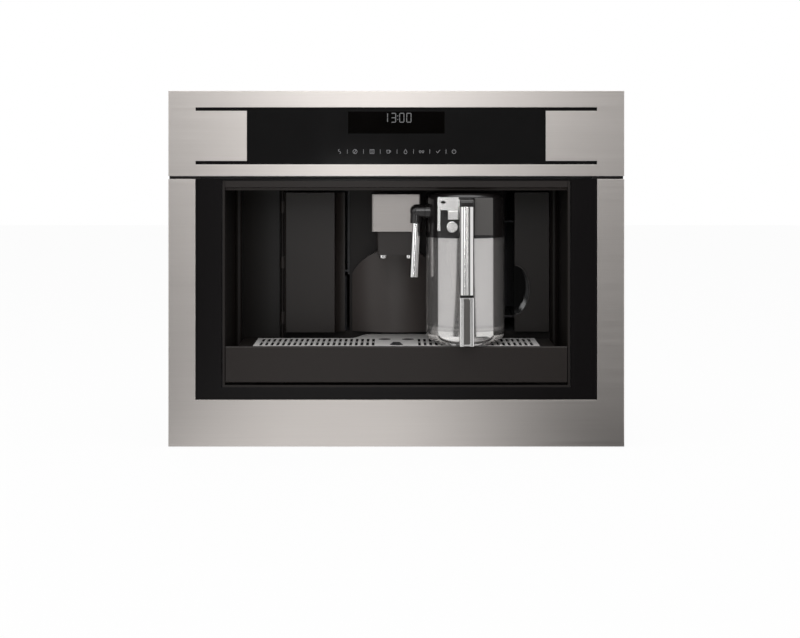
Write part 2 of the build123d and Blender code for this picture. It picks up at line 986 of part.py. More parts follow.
def left_cover():
    """Fixed curved panel left of the door, hooked round at its right edge."""
    middle_x = (cover_left + cover_right) / 2
    crown = cover_depth + cover_crown
    inner_left = cover_left + panel_wall
    inner_right = cover_right - panel_wall
    inner_back = cover_depth + panel_wall + cover_crown
    outline = ThreePointArc((cover_left, cover_depth + cover_sag), (middle_x, crown), (cover_right, cover_depth))
    outline += Polyline((cover_right, cover_depth), (cover_right, cavity_back), (inner_right, cavity_back),
                        (inner_right, inner_back))
    outline += ThreePointArc((inner_right, inner_back), (middle_x, crown + panel_wall),
                             (inner_left, cover_depth + cover_sag + panel_wall))
    outline += Polyline((inner_left, cover_depth + cover_sag + panel_wall), (inner_left, cavity_back),
                        (cover_left, cavity_back), (cover_left, cover_depth + cover_sag))
    return along_z(make_face(outline), cavity_floor, cavity_ceiling)


def column_solid(inset):
    """Arched and bulging column block, smaller by the inset on every side."""
    side = column_width / 2 - inset
    radius = ((column_width / 2) ** 2 + column_bulge ** 2) / (2 * column_bulge)
    rise = column_arch - inset
    arch_radius = (side ** 2 + rise ** 2) / (2 * rise)
    plan = Pos(0, column_front + radius) * Circle(radius - inset)
    plan &= rect(-side, side, column_front, cavity_back)
    front = rect(-side, side, panel_bottom, column_shoulder)
    arch = Pos(0, column_peak - inset - arch_radius) * Circle(arch_radius)
    front += arch & rect(-side, side, column_shoulder, column_peak)
    return along_z(plan, panel_bottom, column_peak) & along_y(front, column_front, cavity_back)


def centre_column():
    """Convex column behind the cups, arched at the top, hollow from behind."""
    return column_solid(0) - column_solid(panel_wall)


def door_outline(inset):
    """Plan of the door, rounded at its free edge, smaller by the inset in front and at the sides."""
    left = door_left + inset
    right = door_right - inset
    front = door_front + inset
    corner = door_corner if inset == 0 else 0
    edge_x = door_right - door_edge_radius
    outline = Line((left, door_back), (left, front + corner))
    if corner:
        outline += RadiusArc((left, front + corner), (left + corner, front), corner)
    outline += Line((left + corner, front), (edge_x, front))
    outline += RadiusArc((edge_x, front), (right, door_front + door_edge_radius), door_edge_radius - inset)
    outline += Polyline((right, door_front + door_edge_radius), (right, door_back), (left, door_back))
    return make_face(outline)


def service_door():
    """Moulded door shell: rounded free edge, hooked hinge edge and three knuckles."""
    shell = along_z(door_outline(0), panel_bottom, panel_top)
    shell -= along_z(door_outline(panel_wall), panel_bottom + panel_wall, panel_top - panel_wall)
    middle = (panel_bottom + panel_top - knuckle_height) / 2
    for low in (panel_bottom + knuckle_inset, middle, panel_top - knuckle_inset - knuckle_height):
        high = low + knuckle_height
        knuckle = rod_z(knuckle_radius, low, high, hinge_x, hinge_y)
        arm = block(hinge_x, door_left, hinge_y - hinge_arm / 2, hinge_y + hinge_arm / 2, low, high)
        shell += knuckle + arm
    return shell - rod_z(hinge_rod_radius + fit_gap, panel_bottom, panel_top, hinge_x, hinge_y)


# ---- Coffee spout ----
def spout_cover():
    """Brushed steel cap over the spout: a folded box open at the bottom and the back."""
    cap = block(-half_spout, half_spout, spout_front, spout_back, spout_split, spout_top)
    cap = fillet(edges_at(cap, Axis.Z, Axis.Y, 0), spout_corner)
    return cap - block(-half_spout + steel, half_spout - steel, spout_front + steel, spout_back,
                       spout_split, spout_top - steel)


def spout_body():
    """Moulded spout head inside the cap, with the tapered lower box and the tall slider."""
    half_core = half_spout - steel
    core = block(-half_core, half_core, spout_front + steel + cap_air, spout_back, spout_split, spout_top - steel)
    foot = round_rect(-half_lower, half_lower, spout_front + lower_front, spout_back - lower_back, lower_corner)
    lower = extrude(Pos(0, 0, spout_split) * foot, amount=-lower_height, taper=lower_taper)
    slider = block(-half_slider, half_slider, spout_back, spout_back + slider_thickness,
                   spout_split + slider_lap, slider_top)
    body = core + lower + slider
    for nozzle_x in (-nozzle_spacing / 2, nozzle_spacing / 2):
        body -= rod_z(nozzle_radius, spout_bottom, spout_bottom + nozzle_insert, nozzle_x, nozzle_y)
    return body


def spout_nozzles():
    """Two chrome outlets with rounded lips."""
    nozzles = Part()
    for nozzle_x in (-nozzle_spacing / 2, nozzle_spacing / 2):
        nozzle = rod_z(nozzle_radius, nozzle_bottom, spout_bottom + nozzle_insert, nozzle_x, nozzle_y)
        nozzle = fillet(nozzle.edges().group_by(Axis.Z)[0], nozzle_lip)
        nozzles += nozzle - rod_z(nozzle_bore, nozzle_bottom, spout_bottom + nozzle_insert, nozzle_x, nozzle_y)
    return nozzles


# ---- Drip tray ----
def tray_plan(half_width, front, inset):
    """Plan outline of the tray family, with the smooth bulge in the middle of its back edge."""
    side_back = tray_side_depth - inset
    middle_back = tray_middle_depth - inset
    flat = bulge_flat / 2 + grille_margin - inset
    foot = bulge_foot / 2 - inset
    outline = Polyline((-foot, side_back), (-half_width, side_back), (-half_width, front),
                       (half_width, front), (half_width, side_back), (foot, side_back))
    outline += Spline((foot, side_back), (flat, middle_back), tangents=((-1, 0), (-1, 0)))
    outline += Line((flat, middle_back), (-flat, middle_back))
    outline += Spline((-flat, middle_back), (-foot, side_back), tangents=((-1, 0), (-1, 0)))
    return make_face(outline)


def drip_tray():
    """Moulded tray: flange deck, deep basin, ledge for the grille, ribs and two skids."""
    basin_front = tray_front_back + tray_wall
    basin_floor = tray_bottom + tray_wall
    tray = along_z(tray_plan(half_tray, tray_front_back, 0), tray_deck - tray_flange, tray_deck)
    tray += along_z(tray_plan(half_basin + tray_wall, tray_front_back, basin_inset - tray_wall),
                    tray_bottom, tray_deck)
    tray -= along_z(tray_plan(half_basin, basin_front, basin_inset), basin_floor, tray_deck)
    rebate = tray_plan(half_grille + seat_gap, basin_front - seat_gap, grille_margin - seat_gap)
    tray -= along_z(rebate, tray_rim, tray_deck)
    for steps in (-2, -1, 1, 2):
        rib_x = steps * tray_rib_pitch
        tray += block(rib_x - tray_rib / 2, rib_x + tray_rib / 2, basin_front, tray_side_depth - basin_inset,
                      basin_floor, basin_floor + tray_rib_height)
    skid_end = half_basin - tray_skid_inset + tray_skid_width / 2
    skid = block(skid_end - tray_skid_width, skid_end, tray_front_back + tray_skid_margin,
                 tray_side_depth - tray_skid_margin, cavity_floor + slide_gap, tray_bottom)
    return tray + skid + mirrored(skid)


def tray_front():
    """Front panel of the tray, moulded with a rim round its back and a bevelled top edge."""
    rim = tray_front_rim
    panel = block(-half_tray_front, half_tray_front, tray_front_y, tray_front_back,
                  tray_front_bottom, tray_front_top)
    panel = chamfer(edges_at(panel, Axis.X, Axis.Y, 0), tray_front_bevel)
    return panel - block(-half_tray_front + rim, half_tray_front - rim, tray_front_y + rim, tray_front_back,
                         tray_front_bottom + rim, tray_front_top - 2 * rim)


def grille_slots():
    """Both rows of long slots, left and right of the centre plate."""
    first = (centre_plate_width + grille_slot_pitch) / 2
    last = half_grille - grille_border
    count = int((last - first) / grille_slot_pitch) + 1
    front = tray_front_back + grille_front_border
    back = tray_side_depth - grille_margin - grille_border
    length = (back - front - grille_bar) / 2
    slots = []
    for index in range(count):
        for side in (-1, 1):
            x = side * (first + index * grille_slot_pitch)
            for low in (front, back - length):
                slots.append(rect(x - grille_slot_width / 2, x + grille_slot_width / 2, low, low + length))
    return Sketch() + slots


def drip_grille():
    """Steel cup grille with a plain centre plate, two finger holes and the float's hole."""
    plate = along_z(tray_plan(half_grille, tray_front_back + tray_wall, grille_margin), tray_rim, tray_front_top)
    holes = grille_slots() + Pos(0, float_y) * Circle(float_radius + float_gap)
    for hole_x in (-finger_x, finger_x):
        holes += Pos(hole_x, tray_side_depth - finger_setback) * Ellipse(finger_half_width, finger_half_depth)
    return plate - along_z(holes, tray_rim, tray_front_top)


def level_float():
    """Float that rises through the grille when the tray is full."""
    bottom = tray_bottom + tray_wall + seat_gap
    drum = rod_z(float_drum_radius, bottom, bottom + float_drum_height, 0, float_y)
    drum = fillet(drum.edges(), float_edge)
    stem = rod_z(float_radius, bottom + float_drum_height, tray_front_top - float_drop, 0, float_y)
    return drum + fillet(stem.edges().group_by(Axis.Z)[-1], float_edge)


# ---- Milk jug ----
def jug_glass():
    """Glass jug turned about its own axis: stepped foot, thick base and straight wall."""
    ring = jug_base + foot_height
    well = jug_base + foot_hollow
    outline = Polyline((0, well), (foot_radius - 2 * foot_rim, well), (foot_radius - foot_rim, jug_base),
                       (foot_radius, jug_base), (foot_radius, ring))
    outline += ThreePointArc((foot_radius, ring), (jug_radius - base_swell_inset, jug_base + base_swell_height),
                             (jug_radius, jug_shoulder))
    outline += Polyline((jug_radius, jug_shoulder), (jug_radius, jug_rim), (jug_inner, jug_rim),
                        (jug_inner, jug_floor + jug_corner))
    outline += RadiusArc((jug_inner, jug_floor + jug_corner), (jug_inner - jug_corner, jug_floor), jug_corner)
    outline += Polyline((jug_inner - jug_corner, jug_floor), (0, jug_floor), (0, well))
    return Pos(jug_x, jug_y, 0) * revolve(Plane.XZ * make_face(outline), Axis.Z)


def jug_lid():
    """Black lid: round body, square front block, side boss for the milk spout, steam port."""
    body = rod_z(jug_radius, jug_rim, lid_top, jug_x, jug_y)
    body = fillet(body.edges().group_by(Axis.Z)[-1], lid_edge_radius)
    body += rod_z(jug_inner - seat_gap, jug_rim - lid_spigot, jug_rim, jug_x, jug_y)
    face = block(face_left, face_right, face_y, jug_y, face_bottom, face_top)
    body += fillet(edges_at(face, Axis.Z, Axis.Y, 0), face_corner)
    body += rod_x(boss_radius, boss_end, jug_x - boss_root, milk_spout_y, milk_elbow_z)
    body += handle_collar()
    land = jug_radius - lid_land
    body -= rod_z(land, jug_rim - lid_spigot, jug_rim + lid_hollow, jug_x, jug_y)
    body -= rod_x(spigot_radius, boss_end, boss_end + spigot_depth, milk_spout_y, milk_elbow_z)
    body -= rod_y(steam_port_radius + slide_gap, jug_y + jug_radius - steam_socket, jug_y + jug_radius,
                  jug_x, steam_port_z)
    body -= rod_y(button_radius + seat_gap, face_y, face_y + pocket_depth, button_x, button_z)
    return body - block(stem_left - regulator_travel - slide_gap, stem_right + slide_gap, face_y,
                        face_y + pocket_depth, stem_low - slide_gap, stem_high + slide_gap)


def lid_escutcheon():
    """Silver angle plate on the lid's face, above and left of the regulator."""
    left = face_left + plate_margin
    bar_low = face_top - plate_bar
    outline = rect(left, face_left + plate_width, bar_low, face_top)
    outline += rect(left, face_left + plate_leg, face_bottom + plate_low, bar_low)
    outline -= Pos(face_left + plate_eye_x, face_top - plate_eye_drop) * Ellipse(plate_eye_half_width,
                                                                                 plate_eye_half_height)
    return along_y(outline, face_y - plate_thickness, face_y)


def froth_regulator():
    """Sliding thumb on the lid's face, with its stem in the slot behind."""
    front = face_y - thumb_proud
    thumb = block(thumb_left, thumb_right, front, face_y - slide_gap, thumb_bottom, thumb_top)
    thumb = fillet(thumb.edges().group_by(Axis.Y)[0], control_edge)
    return thumb + block(stem_left, stem_right, face_y - slide_gap, face_y + pocket_depth - 2 * seat_gap,
                         stem_low, stem_high)


def clean_button():
    """Round press button in its bore on the lid's face."""
    end = face_y + pocket_depth - button_travel - seat_gap
    button = rod_y(button_radius, face_y - button_proud, end, button_x, button_z)
    return fillet(button.edges().group_by(Axis.Y)[0], control_edge)


def handle_collar():
    """Arm from the lid's face to the top of the handle, capping the bar."""
    cap_top = handle_top + cap_over_handle
    arm_low = cap_top - arm_height
    profile = Polyline((face_y, arm_low), (face_y, cap_top), (handle_front + cap_corner, cap_top))
    profile += RadiusArc((handle_front + cap_corner, cap_top), (handle_front, cap_top - cap_corner), -cap_corner)
    profile += Polyline((handle_front, cap_top - cap_corner), (handle_front, handle_top),
                        (handle_back, handle_top), (handle_back, arm_low), (face_y, arm_low))
    collar = along_x(make_face(profile), handle_x - handle_width / 2, handle_x + handle_width / 2)
    return fillet(edges_at(collar, Axis.Z, Axis.Y, 0), cap_edge)


def handle_rect(width, depth, corner):
    """Rounded section about the handle's own axis."""
    return Pos(handle_x, handle_middle) * RectangleRounded(width, depth, corner)


def jug_handle():
    """Chrome handle: grooved bar, short waist, and the channel below it, open at the front."""
    bar = handle_rect(handle_width, handle_thickness, handle_thickness / 2 - handle_flat)
    bar -= Pos(handle_x, handle_front) * Circle(handle_groove)
    waist = handle_rect(handle_width - 2 * neck_inset, handle_thickness - 2 * neck_inset, handle_corner)
    channel = handle_rect(handle_width, handle_thickness, handle_corner)
    channel -= rect(handle_x - channel_width / 2, handle_x + channel_width / 2, handle_front,
                    handle_front + channel_depth)
    return (along_z(bar, waist_high, handle_top) + along_z(waist, waist_low, waist_high)
            + along_z(channel, handle_bottom, waist_low))


def handle_bracket():
    """Black bracket from the back of the handle to the wall of the jug."""
    low = jug_shoulder + bracket_lift
    arm = block(handle_x - bracket_width / 2, handle_x + bracket_width / 2, handle_back,
                jug_y - jug_radius + bracket_foot_thickness, low, low + bracket_height)
    arm = fillet(arm.edges().filter_by(Axis.Y), bracket_corner)
    foot = block(handle_x - bracket_foot_width / 2, handle_x + bracket_foot_width / 2, handle_back,
                 handle_back + bracket_foot_thickness, low, handle_joint - bracket_foot_drop)
    foot = fillet(foot.edges().filter_by(Axis.Y), bracket_foot_corner)
    return arm + foot - rod_z(jug_radius + fit_gap, jug_base, jug_rim, jug_x, jug_y)


def milk_intake_tube():
    """Suction tube leaning from the lid down to the jug's floor."""
    top = Vector(jug_x - intake_top_offset, jug_y, jug_rim + lid_hollow - intake_seat)
    foot = Vector(jug_x - intake_foot_offset, jug_y - intake_foot_shift, jug_floor + intake_foot_gap)
    axis = foot - top
    plane = Plane(origin=top, z_dir=axis)
    return extrude(plane * (Circle(intake_radius) - Circle(intake_bore)), amount=axis.length)


def milk_spout_axis():
    """Place and lean of the outlet tube, with the elbow's middle as origin."""
    return Pos(milk_spout_x, milk_spout_y, milk_elbow_z) * Rot(0, milk_tube_lean, 0)


def milk_elbow():
    """Black elbow that turns in the lid's boss and carries the chrome outlet tube."""
    hub = Pos(milk_spout_x, milk_spout_y, milk_elbow_z) * Sphere(elbow_radius)
    hub += rod_x(elbow_radius, milk_spout_x, boss_end - seat_gap, milk_spout_y, milk_elbow_z)
    hub += rod_x(spigot_radius - fit_gap, milk_spout_x, boss_end + spigot_depth - seat_gap,
                 milk_spout_y, milk_elbow_z)
    leg = milk_spout_axis() * along_z(Circle(elbow_radius - milk_tube_wall), -elbow_leg, 0)
    return hub + leg - milk_spout_axis() * along_z(Circle(milk_tube_radius + fit_gap), -elbow_leg, -tube_insert)


def milk_spout_tube():
    """Chrome outlet tube of the milk spout."""
    length = milk_tube_length / cos(radians(milk_tube_lean))
    section = Circle(milk_tube_radius) - Circle(milk_tube_radius - milk_tube_wall)
    return milk_spout_axis() * along_z(section, -length, -tube_insert)


def steam_nozzle():
    """Metal nozzle that plugs into the back of the jug's lid."""
    tip = jug_y + jug_radius - steam_nozzle_plug
    end = liner_back + steam_nozzle_tail
    nozzle = rod_y(steam_port_radius, tip, end, jug_x, steam_port_z)
    nozzle = chamfer(nozzle.edges().group_by(Axis.Y)[0], steam_nozzle_edge)
    nozzle += rod_y(steam_nozzle_nut, liner_back, end, jug_x, steam_port_z)
    return nozzle - rod_y(steam_nozzle_bore, tip, end, jug_x, steam_port_z)


# ---- Water tank and bays ----
def grip_shape(growth):
    """Half-moon finger recess at the left edge of the tank."""
    return Pos(tank_left - tank_panel_lap, grip_z) * Ellipse(grip_width + growth, grip_height + growth)


def water_tank():
    """Transparent tank, open at the top, with the finger recess moulded into its corner."""
    wall = tank_wall
    tank = along_z(round_rect(tank_left, tank_right, tank_front, tank_back, tank_corner), tank_bottom, tank_top)
    tank -= along_y(grip_shape(0), tank_front, tank_front + grip_depth)
    inner = round_rect(tank_left + wall, tank_right - wall, tank_front + wall, tank_back - wall, tank_corner - wall)
    tank -= along_z(inner, tank_bottom + wall, tank_top) - along_y(grip_shape(wall), tank_front,
                                                                   tank_front + grip_depth + wall)
    tank += rod_y(outlet_radius, tank_back - wall, tank_back + outlet_reach, tank_middle, outlet_z)
    return tank - rod_y(outlet_radius - outlet_wall, tank_back - wall, tank_back + outlet_reach,
                        tank_middle, outlet_z)


def tank_panel():
    """Dark front panel and lid of the tank in one moulding, cut out at the finger recess."""
    panel = along_y(round_rect(tank_left - tank_panel_lap, tank_right, tank_bottom, panel_top, tank_panel_corner),
                    tank_panel_front, tank_front)
    panel -= along_y(grip_shape(0), tank_panel_front, tank_front)
    panel -= along_y(grip_shape(grip_bevel), tank_panel_front, tank_panel_front + grip_bevel / 2)
    lid_high = tank_top + tank_lid_thickness
    lid_low = tank_top - tank_lid_lip
    step = tank_wall + seat_gap
    lid = along_z(round_rect(tank_left, tank_right, tank_front - seat_gap, tank_back, tank_corner),
                  tank_top, lid_high)
    lid += along_z(round_rect(tank_left + step, tank_right - step, tank_front + step, tank_back - step,
                              tank_lid_lip_corner), lid_low, tank_top)
    mouth = RectangleRounded(tank_mouth_width, tank_mouth_length, tank_mouth_corner)
    mouth = Pos(tank_middle, tank_back - tank_mouth_setback) * mouth
    return panel + lid - along_z(mouth, lid_low, lid_high)


def bay_shell(left, right, back):
    """Moulded bay behind the cavity: floor, two side walls and a rear wall, open in front."""
    outer = block(left - bay_wall, right + bay_wall, liner_back, back + bay_wall, deck_top, shelf_bottom)
    return outer - block(left, right, liner_back, back, deck_top + bay_floor, shelf_bottom)


def tank_bay():
    """Bay of the tank, with guide ribs on both sides and the outlet's socket."""
    back = tank_back + tank_bay_back_gap
    bay = bay_shell(tank_bay_left, tank_bay_right, back)
    first = tank_bottom + guide_rib_low
    for low in (first, first + guide_rib_pitch):
        high = low + guide_rib
        bay += block(tank_bay_left, tank_left - slide_gap, cavity_back + guide_rib_left_start, back, low, high)
        bay += block(tank_right + slide_gap, tank_bay_right, cavity_back + guide_rib_right_start, back, low, high)
    socket_end = back + outlet_socket_depth
    bay += rod_y(outlet_radius + outlet_socket_wall, back, socket_end, tank_middle, outlet_z)
    return bay - rod_y(outlet_radius + slide_gap, back, socket_end - outlet_socket_floor, tank_middle, outlet_z)


def rear_bays():
    """Both bays behind the cavity, moulded together on one floor."""
    bridge = block(bay_right + bay_wall, tank_bay_left - bay_wall, liner_back,
                   boiler_y - boiler_radius - bay_bridge_gap, deck_top, deck_top + bay_wall)
    return brew_bay() + tank_bay() + bridge


# ---- Brew unit ----
def brew_bay():
    """Bay behind the service door, with ledges that the infuser stands on."""
    bay = bay_shell(bay_left, bay_right, bay_back)
    for low, high in ((bay_left, bay_left + ledge), (bay_right - ledge, bay_right)):
        bay += block(low, high, cavity_back + ledge_front_gap, bay_back, infuser_floor - ledge, infuser_floor)
    return bay


def grounds_container():
    """Open-topped bin for the used grounds, with a turned-over front lip."""
    wall = container_wall
    left = bay_left + container_side
    right = bay_right - container_side
    front = cavity_back + container_front
    back = bay_back - container_back
    low = deck_top + bay_floor + seat_gap
    high = infuser_floor - container_gap
    outer = along_z(round_rect(left, right, front, back, container_corner), low, high)
    inner = round_rect(left + wall, right - wall, front + wall, back - wall, container_corner - wall)
    lip = block(left + container_lip_inset, right - container_lip_inset, front - container_lip, front + wall / 2,
                high - container_lip_height, high)
    return outer + lip - along_z(inner, low + wall, high)


def infuser_frame():
    """Frame of the brew unit: floor with a drop opening, side cheeks, head and fixed piston."""
    left = bay_left + seat_gap
    right = bay_right - seat_gap
    front = cavity_back + infuser_front_gap
    back = bay_back - seat_gap
    chamber_front = brew_y - chamber_radius
    frame = block(left, right, front, back, infuser_floor, infuser_floor_top)
    frame -= block(left + drop_side, right - drop_side, front + drop_front, chamber_front - drop_back,
                   infuser_floor, infuser_floor_top)
    for low in (left, right - infuser_sheet):
        frame += along_x(round_rect(front, back, infuser_floor_top, infuser_top, infuser_edge),
                         low, low + infuser_sheet)
    head = infuser_top - infuser_head
    frame += block(left, right, chamber_front, back, head, infuser_top)
    frame += rod_z(chamber_bore - seat_gap, piston_low, infuser_top, brew_x, brew_y)
    frame += rod_z(piston_nose_radius, piston_low - piston_nose, piston_low, brew_x, brew_y)
    return frame - rod_z(spindle_radius + fit_gap, head, infuser_top, brew_x, spindle_y)


def brew_carriage():
    """Brew chamber with its carrier arm and nut, lifted onto the piston by the spindle."""
    chamber = rod_z(chamber_radius, chamber_low, chamber_high, brew_x, brew_y)
    chamber += block(brew_x - arm_half_width, brew_x + arm_half_width, brew_y, spindle_y,
                     chamber_low, chamber_low + arm_thickness)
    chamber += rod_z(nut_radius, chamber_low, chamber_high - nut_drop, brew_x, spindle_y)
    chamber -= rod_z(chamber_bore, chamber_low + chamber_floor, chamber_high, brew_x, brew_y)
    return chamber - rod_z(spindle_radius + fit_gap, chamber_low, chamber_high, brew_x, spindle_y)


def brew_spindle():
    """Spindle between the frame's floor and the gear motor."""
    spindle = rod_z(spindle_radius, infuser_floor_top, shelf_top + spindle_in_motor, brew_x, spindle_y)
    return chamfer(spindle.edges().group_by(Axis.Z)[0], spindle_edge)


def brew_motor():
    """Gear motor on the shelf that turns the spindle."""
    half = brew_motor_size / 2
    case_top = shelf_top + brew_motor_case
    case = along_z(round_rect(brew_x - half, brew_x + half, spindle_y - half, spindle_y + half, brew_motor_corner),
                   shelf_top, case_top)
    can = rod_z(brew_motor_can_radius, case_top, case_top + brew_motor_can, brew_x, spindle_y)
    can = fillet(can.edges().group_by(Axis.Z)[-1], brew_motor_edge)
    return case + can - rod_z(spindle_radius + fit_gap, shelf_top, shelf_top + spindle_in_motor + motor_bore_reach,
                              brew_x, spindle_y)


# ---- Grinder, hopper and powder funnel ----
def grinder_housing():
    """Round grinder case with its fixed burr ring, bean throat and outlet duct."""
    case = rod_z(grinder_radius, shelf_top, hopper_bottom, grinder_x, grinder_y)
    case = fillet(case.edges().group_by(Axis.Z)[-1], grinder_edge)
    duct_end = funnel_x + funnel_tube_radius + seat_gap
    inner_half = duct_half_width - duct_wall
    case += block(duct_end, grinder_x - burr_radius, duct_y - duct_half_width, duct_y + duct_half_width,
                  burr_low - duct_low, burr_low + duct_high)
    case -= block(duct_end, grinder_x - burr_radius / 2, duct_y - inner_half, duct_y + inner_half,
                  burr_low - burr_chamber_drop, burr_low)
    ring_low = burr_low + burr_chamber_lift
    case -= rod_z(burr_radius + burr_gap, burr_low - burr_chamber_drop, ring_low, grinder_x, grinder_y)
    ring = Pos(grinder_x, grinder_y, ring_low) * extrude(Circle(burr_radius), amount=burr_high - ring_low,
                                                         taper=ring_taper)
    case -= ring + rod_z(throat_radius, burr_high - throat_lap, hopper_bottom, grinder_x, grinder_y)
    return case - rod_z(shaft_radius + fit_gap, shelf_top, burr_low, grinder_x, grinder_y)


def lower_burr():
    """Rotating conical burr with slanted flutes, on the motor's shaft."""
    cone = Pos(0, 0, burr_low) * extrude(Circle(burr_radius - burr_gap), amount=burr_height, taper=burr_taper)
    place = Pos(burr_radius - flute_inset, 0, burr_low + burr_height / 2) * Rot(0, -burr_taper, 0)
    flute = place * Rot(flute_slant, 0, 0) * Box(flute_depth, flute_width, flute_length)
    for index in range(flute_count):
        cone -= Rot(0, 0, 360 / flute_count * index) * flute
    shaft = rod_z(shaft_radius, shelf_top - shaft_drop, burr_low + burr_chamber_lift, 0, 0)
    return Pos(grinder_x, grinder_y, 0) * (cone + shaft)


def grinder_motor():
    """Motor hanging under the shelf below the grinder."""
    can = rod_z(grinder_motor_radius, shelf_bottom - grinder_motor_length, shelf_bottom, grinder_x, grinder_y)
    can = fillet(can.edges().group_by(Axis.Z)[0], grinder_motor_edge)
    return can - rod_z(shaft_radius + fit_gap, shelf_bottom - shaft_drop, shelf_bottom, grinder_x, grinder_y)


def funnel_solid(inset):
    """Cone and tube of the funnel, smaller by the inset."""
    top = body_top - sheet
    foot = hopper_bottom + funnel_cone_lift
    narrowing = funnel_top_radius - funnel_tube_radius
    taper = degrees(asin(narrowing / sqrt(narrowing ** 2 + (top - foot) ** 2)))
    cone = extrude(Pos(funnel_x, funnel_y, top) * Circle(funnel_top_radius - inset), amount=foot - top, taper=taper)
    return cone + rod_z(funnel_tube_radius - inset, funnel_low, foot, funnel_x, funnel_y)


def powder_funnel():
    """Funnel from the powder flap down to the brew chamber, cut on a slant towards it."""
    funnel = funnel_solid(0) - funnel_solid(funnel_wall)
    front = funnel_y - funnel_tube_radius
    back = funnel_y + funnel_tube_radius
    lip = Polyline((front, funnel_low), (back, funnel_low), (back, funnel_low + funnel_slant), (front, funnel_low))
    funnel -= along_x(make_face(lip), funnel_x - funnel_tube_radius, funnel_x + funnel_tube_radius)
    half = funnel_inlet_half
    return funnel - block(funnel_x, funnel_x + funnel_tube_radius, funnel_y - half, funnel_y + half,
                          burr_low - half, burr_low + half)


def hopper_solid(inset):
    """Loft from the wide mouth to the grinder's throat, smaller by the inset."""
    mouth = RectangleRounded(hopper_width - 2 * inset, hopper_depth - 2 * inset, hopper_corner - inset)
    foot = RectangleRounded(hopper_foot - 2 * inset, hopper_foot - 2 * inset, hopper_corner - inset)
    return loft([Pos(hopper_x, hopper_y, body_top - sheet) * mouth, Pos(grinder_x, grinder_y, hopper_bottom) * foot])


def bean_hopper():
    """Clear hopper lofted from the square mouth down to the grinder's round throat."""
    top = body_top - sheet
    low = top - hopper_rim_height
    rim = Pos(hopper_x, hopper_y) * RectangleRounded(hopper_width + 2 * hopper_rim, hopper_depth + 2 * hopper_rim,
                                                     hopper_corner + hopper_wall)
    return hopper_solid(0) + along_z(rim, low, top) - hopper_solid(hopper_wall) - along_z(hopper_mouth(), low, top)


def hopper_mouth():
    """Outline of the hopper's inner edge, which the top cover repeats."""
    return Pos(hopper_x, hopper_y) * RectangleRounded(hopper_width - 2 * hopper_wall, hopper_depth - 2 * hopper_wall,
                                                      hopper_corner - hopper_wall)


def barrel_spans(left, right):
    """Both stretches along X that carry a lid's hinge barrels."""
    first = left + barrel_inset
    last = right - barrel_inset
    return ((first, first + barrel_length), (last - barrel_length, last))


def pivot_lid(left, right, front, back):
    """Flat lid with a bevelled edge and two hinge barrels behind it."""
    low = body_top + seat_gap
    high = low + top_lid_height
    pivot_y = back + pivot_reach
    lid = along_z(round_rect(left, right, front, back, top_lid_corner), low, high)
    lid = chamfer(lid.edges().group_by(Axis.Z)[-1], top_lid_edge)
    for x0, x1 in barrel_spans(left, right):
        lid += rod_x(barrel_radius, x0, x1, pivot_y, pivot_height)
        lid += block(x0, x1, back - hinge_web_lap, pivot_y, low + hinge_web_lift, high)
    return lid - rod_x(pivot_radius + fit_gap, left, right, pivot_y, pivot_height)


def pivot_ears(left, right, back):
    """Upstanding ears with pins for a pivoting lid."""
    ears = Part()
    pivot_y = back + pivot_reach
    profile = rect(pivot_y - ear_radius, pivot_y + ear_radius, body_top, pivot_height)
    profile += Pos(pivot_y, pivot_height) * Circle(ear_radius)
    reach = seat_gap + ear_thickness
    for x0, x1 in barrel_spans(left, right):
        ears += along_x(profile, x0 - reach, x0 - seat_gap)
        ears += along_x(profile, x1 + seat_gap, x1 + reach)
        ears += rod_x(pivot_radius, x0 - reach, x1 + reach, pivot_y, pivot_height)
    return ears


def hopper_lid():
    return pivot_lid(hopper_left - top_lid_margin, hopper_right + top_lid_margin, hopper_front - top_lid_margin,
                     hopper_back + top_lid_margin)


def powder_flap():
    return pivot_lid(flap_left, flap_right, flap_front, flap_back)


def grind_knob():
    """Fineness knob on the top, with finger flats, a pointer and a shaft down to the grinder."""
    low = body_top + seat_gap
    high = low + knob_height
    knob = rod_z(knob_radius, low, high, knob_x, knob_y)
    for index in range(knob_notch_count):
        angle = radians(360 / knob_notch_count * index)
        knob -= rod_z(knob_notch_radius, low, high, knob_x + knob_radius * cos(angle),
                      knob_y + knob_radius * sin(angle))
    knob -= block(knob_x - knob_mark_width / 2, knob_x + knob_mark_width / 2, knob_y - knob_radius + knob_mark_inset,
                  knob_y - knob_mark_inset, high - knob_mark_depth, high)
    return knob + rod_z(knob_shaft_radius, body_top - knob_shaft_length, low, knob_x, knob_y)


# ---- Boiler, pump and electrics ----
def boiler():
    """Pressed boiler: bolted flange, rounded head and heater terminals."""
    body = rod_z(boiler_radius, deck_top, boiler_top, boiler_x, boiler_y)
    body = fillet(body.edges().group_by(Axis.Z)[-1], boiler_head_radius)
    body += rod_z(boiler_radius + boiler_flange, deck_top, deck_top + boiler_flange_height, boiler_x, boiler_y)
    for x in (boiler_x - terminal_x, boiler_x + terminal_x):
        body += rod_z(terminal_radius, boiler_top - terminal_root, boiler_top + terminal_height, x, boiler_y)
    return body


